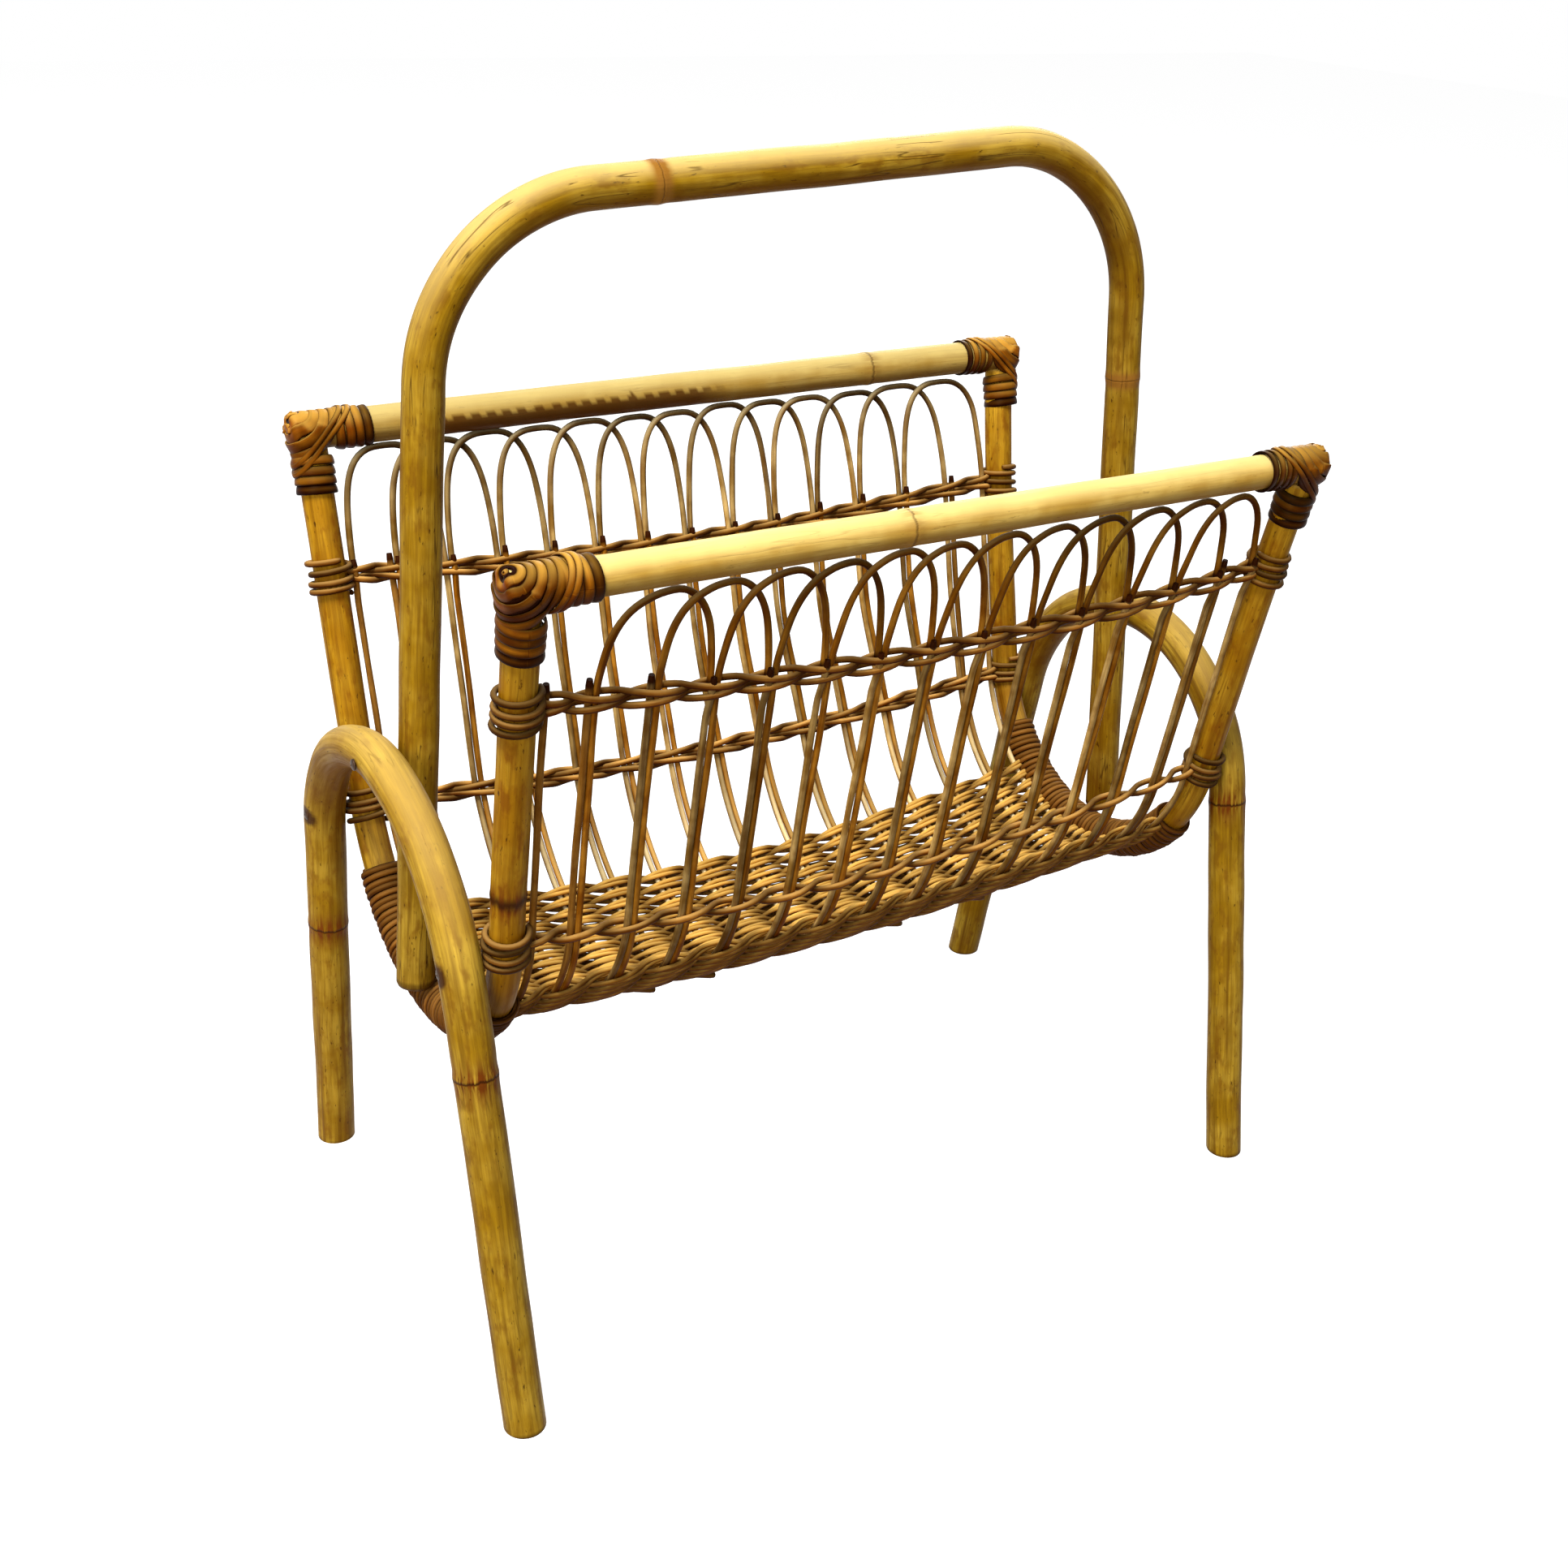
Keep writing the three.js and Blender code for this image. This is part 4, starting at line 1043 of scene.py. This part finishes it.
# down along the arm of a frame, and away from the trough at a right angle to it
def armDirections(side):
    sine, cosine = math.sin(trough["lean"]), math.cos(trough["lean"])
    return np.array([0.0, -side * sine, -cosine]), np.array([0.0, side * cosine, -sine])


# where a corner lies and how its two poles leave it
def cornerOf(way, wall):
    side = -1 if wall == "front" else 1
    inward = np.array([-way, 0.0, 0.0])
    down, off = armDirections(side)
    inside = unit(inward + down)
    return {"point": cornerPoint(way, side), "inward": inward, "down": down, "off": off, "inside": inside,
            "upright": np.cross(inside, off), "apex": -6.0 * inward - 6.5 * down,
            "name": f"{wall}_{'left' if way < 0 else 'right'}",
            "kind": "ringed" if way < 0 and wall == "front" else "smooth",
            "darker": binding["darker"].get((wall, way), 0)}


# a closed path of peel round a corner, found by halving: loops lie on balls round the apex, and
# straight strips in planes across the corner
def peelPath(corner, reach, lift, straight):
    around = fullTurn(64)
    direction = circleOf(around, corner["off"], corner["upright"])

    def placeAt(tilt):
        if straight:
            return reach * corner["inside"] + tilt[:, None] * direction
        return corner["apex"] + reach * circleOf(tilt, corner["inside"], direction)

    low = np.zeros_like(around)
    high = np.full_like(around, 40.0 if straight else math.pi)
    for _ in range(30):
        middle = (low + high) / 2
        inBody = cornerSkin(placeAt(middle), corner) < lift
        low = np.where(inBody, middle, low)
        high = np.where(inBody, high, middle)
    return placeAt(low)


# the cap of a corner: loops of peel, darker ones under them that paint the shade in the gaps, and straight
# strips over them
def makeCap(corner, seed, rng):
    pile = newPile()
    loops = [(reach, *binding["underShape"]) for reach in binding["under"]] + list(binding[corner["kind"]])
    straight = list(binding["straight"]) if corner["kind"] == "smooth" else []
    for index, (reach, wide, lift, edge) in enumerate(loops + straight):
        path = peelPath(corner, reach + rng.uniform(-0.2, 0.2), lift, index >= len(loops))
        hidden = index < len(binding["under"])
        # each strip leans on the one before it
        addTube(pile, corner["point"] + path, binding["thick"], wide, section=stripSection(),
                guide=skinNormal(path, corner) + binding["tilt"] * corner["inside"],
                tone=0.1 if hidden else rng.uniform(0.3, 1.0) + corner["darker"],
                shade=0.95 if hidden else 0.0,
                offset=seed * 31.0 + index * 77.0, edge=edge, closed=True)
    finishPile(pile, f"cornerPeel_{corner['name']}", "peel", f"corner_cap_{corner['name']}")


# the turns of peel round the rail and round the arm beside a corner, the last of each in shadow
def makeTurns(corner, seed, rng):
    pile = newPile()
    count = binding["turns"]
    pitch = (binding["turnEnd"] - binding["turnStart"]) / count
    for axis, other, shadow, darker in (("inward", "down", 0.6, 0), ("down", "inward", 0.76, 0.55)):
        for turn in range(count):
            angle = fullTurn(40)
            along = binding["turnStart"] + pitch * (turn + 0.5) + 0.3 * np.sin(angle)
            along = along + (1.2 if turn == 0 else 0.5) * np.cos(angle)
            out = circleOf(angle, corner["off"], corner[other])
            radius = binding["radius"] + 0.12 * (count - turn)
            final = turn == count - 1
            addTube(pile, corner["point"] + along[:, None] * corner[axis] + out * radius,
                    binding["thick"], binding["wide"], section=stripSection(),
                    guide=out - binding["tilt"] * corner[axis],
                    tone=0.1 if final else rng.uniform(0.3, 0.9) + corner["darker"] - darker,
                    shade=shadow if final else 0.0, offset=seed * 47.0 + turn * 91.0, edge=0.95, closed=True)
    # two slanted turns lie over those of the rail
    for along in binding["slanted"] if corner["kind"] == "ringed" else ():
        angle = fullTurn(48)
        out = circleOf(angle, corner["off"], corner["down"])
        places = (along - binding["slant"] * np.sin(angle))[:, None] * corner["inward"]
        addTube(pile, corner["point"] + places + out * (binding["radius"] + binding["slantedRise"]),
                binding["thick"], binding["slantedWide"], section=stripSection(), guide=out, tone=0.95,
                offset=along * 91.0, edge=0.9, closed=True)
    finishPile(pile, f"cornerTurns_{corner['name']}", "peel", f"corner_binding_{corner['name']}")


for number, (way, wall) in enumerate(((-1, "front"), (1, "front"), (-1, "back"), (1, "back"))):
    rng = random.Random(600 + number)
    corner = cornerOf(way, wall)
    makeCap(corner, 600 + number, rng)
    makeTurns(corner, 600 + number, rng)
print("corners made")


# nails
nails = {
    "headRadius": 2.7,
    "dome": 0.9,
    "thick": 0.9,
    "shankRadius": 1.0,
    "point": 2.0,
    "sides": 24,
    "arch": (2.2, 34.21),  # from the outside of the CAD head to the seat of this one, and length
    "handle": (1.0, 31.0),
    "cornerLength": 29.0,
    "cornerRise": 6.4,
}


def nailMaterial():
    material, tree, skin = newMaterial("nailSteel")
    place = addNode(tree, "ShaderNodeTexCoord").outputs["Object"]
    rust = noise(tree, place, (1.0, 1.0, 1.0), scale=900.0, detail=4.0)
    bump = addNode(tree, "ShaderNodeBump")
    plugAll(tree, bump, Strength=0.4, Distance=0.2 * mm, Height=rust)
    plugAll(tree, skin, Base_Color=mixColour(tree, rust, srgb(44, 36, 28), srgb(80, 54, 34)),
            Roughness=scaled(tree, rust, 0.3, 0.3), Metallic=scaled(tree, rust, -0.5, 1.0),
            Normal=bump.outputs["Normal"])
    return material


materials["nail"] = nailMaterial()


def makeNail(name, node, start, direction, length):
    radius, dome, thick = nails["headRadius"], nails["dome"], nails["thick"]
    profile = [(-thick - dome, 0.05)]
    for share in np.linspace(0.15, 1, 7):
        angle = share * math.pi / 2
        profile.append((-thick * 0.6 - dome * math.cos(angle), radius * math.sin(angle)))
    profile += [(-0.1, radius), (0.0, radius * 0.9), (0.05, nails["shankRadius"]),
                (length, nails["shankRadius"]), (length + nails["point"], 0.1)]
    heights, radii = np.array(profile).T
    points = np.asarray(start, float) + heights[:, None] * np.asarray(direction, float)
    pile = newPile()
    addTube(pile, points, radii, section=roundSection(nails["sides"]), chamfer=0.0)
    finishPile(pile, name, "nail", node)


# a nail driven in from one end of the rack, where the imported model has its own
def driveNail(name, node, way, kind):
    low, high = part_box(node)
    middle = (low + high) / 2 / mm
    outer = (low.x if way < 0 else high.x) / mm
    sunk, length = nails[kind]
    makeNail(name, node, (outer - way * sunk, middle.y, middle.z), (-way, 0, 0), length)


for way, end in ((-1, "left"), (1, "right")):
    for side, wall in ((-1, "front"), (1, "back")):
        driveNail(f"archNail_{wall}_{end}", f"arch_nail_{wall}_{end}", way, "arch")
        down = armDirections(side)[0]
        makeNail(f"cornerNail_{wall}_{end}", f"corner_nail_{wall}_{end}",
                 cornerPoint(way, side) - down * nails["cornerRise"], down, nails["cornerLength"])
    driveNail(f"handleNail_{end}", f"handle_nail_{end}", way, "handle")
print("nails made")


# stage: a white floor that keeps the rack's shadow
stage = {"size": 12.0, "grey": 0.34, "glow": 0.945, "daylight": 0.1}


# one where the floor or the world is seen, directly or through glass or in a reflection
def whereSeen(tree):
    path = addNode(tree, "ShaderNodeLightPath").outputs
    direct = calculate(tree, "MAXIMUM", path["Is Camera Ray"], path["Is Glossy Ray"])
    return calculate(tree, "MAXIMUM", direct, path["Is Transmission Ray"])


def makeStage():
    mesh = bpy.data.meshes.new("studioFloor")
    half = stage["size"] / 2
    corners = [(-half, -half, 0), (half, -half, 0), (half, half, 0), (-half, half, 0)]
    mesh.from_pydata(corners, [], [(0, 1, 2, 3)])
    material, tree, skin = newMaterial("studioWhite")
    plugAll(tree, skin, Base_Color=(stage["grey"], stage["grey"], stage["grey"], 1), Roughness=0.9,
            Specular_IOR_Level=0.0, Emission_Color=(1, 1, 1, 1),
            Emission_Strength=scaled(tree, whereSeen(tree), stage["glow"]))
    mesh.materials.append(material)
    addObject("studioFloor", mesh)


def makeWorld():
    world = bpy.data.worlds.new("studio")
    bpy.context.scene.world = world
    world.use_nodes = True
    tree = world.node_tree
    dim = stage["daylight"]
    plugAll(tree, tree.nodes["Background"], Color=(1, 1, 1, 1),
            Strength=scaled(tree, whereSeen(tree), 1 - dim, dim))


# a square lamp that looks at the middle of the rack, with its size in metres and power in watts
def addLamp(name, place, size, power):
    data = bpy.data.lights.new(name, "AREA")
    data.shape = "SQUARE"
    data.size = size
    data.energy = power
    lamp = addObject(name, data)
    lamp.location = place
    lamp.rotation_euler = (Vector((0, 0, 0.25)) - Vector(place)).to_track_quat("-Z", "Y").to_euler()


makeStage()
makeWorld()
addLamp("keyLamp", (-0.9, -0.6, 2.5), 0.9, 94.0)
addLamp("fillLamp", (-1.9, -1.8, 1.1), 1.2, 40.0)
addLamp("backLamp", (1.6, 2.0, 1.5), 1.2, 32.0)

# camera, solved from the photograph
view = {
    "place": (-0.46446, -0.74698, 0.64676),
    "right": (0.84030789, -0.54022958, 0.04510722),
    "up": (0.2254782, 0.42396325, 0.87716289),
    "forward": (0.49299314, 0.7269162, -0.47806966),
    "lens": 42.963,
    "shift": (-0.04774, 0.06623),
}
cameraData = bpy.data.cameras.new("photoCamera")
cameraData.lens = view["lens"]
cameraData.sensor_width = 36.0
cameraData.shift_x, cameraData.shift_y = view["shift"]
cameraData.clip_start = 0.05
camera = addObject("photoCamera", cameraData)
turned = Matrix((view["right"], view["up"], -Vector(view["forward"]))).transposed().to_4x4()
camera.matrix_world = Matrix.Translation(view["place"]) @ turned
bpy.context.scene.camera = camera
bpy.context.scene.view_settings.view_transform = "Standard"

print("scene made")
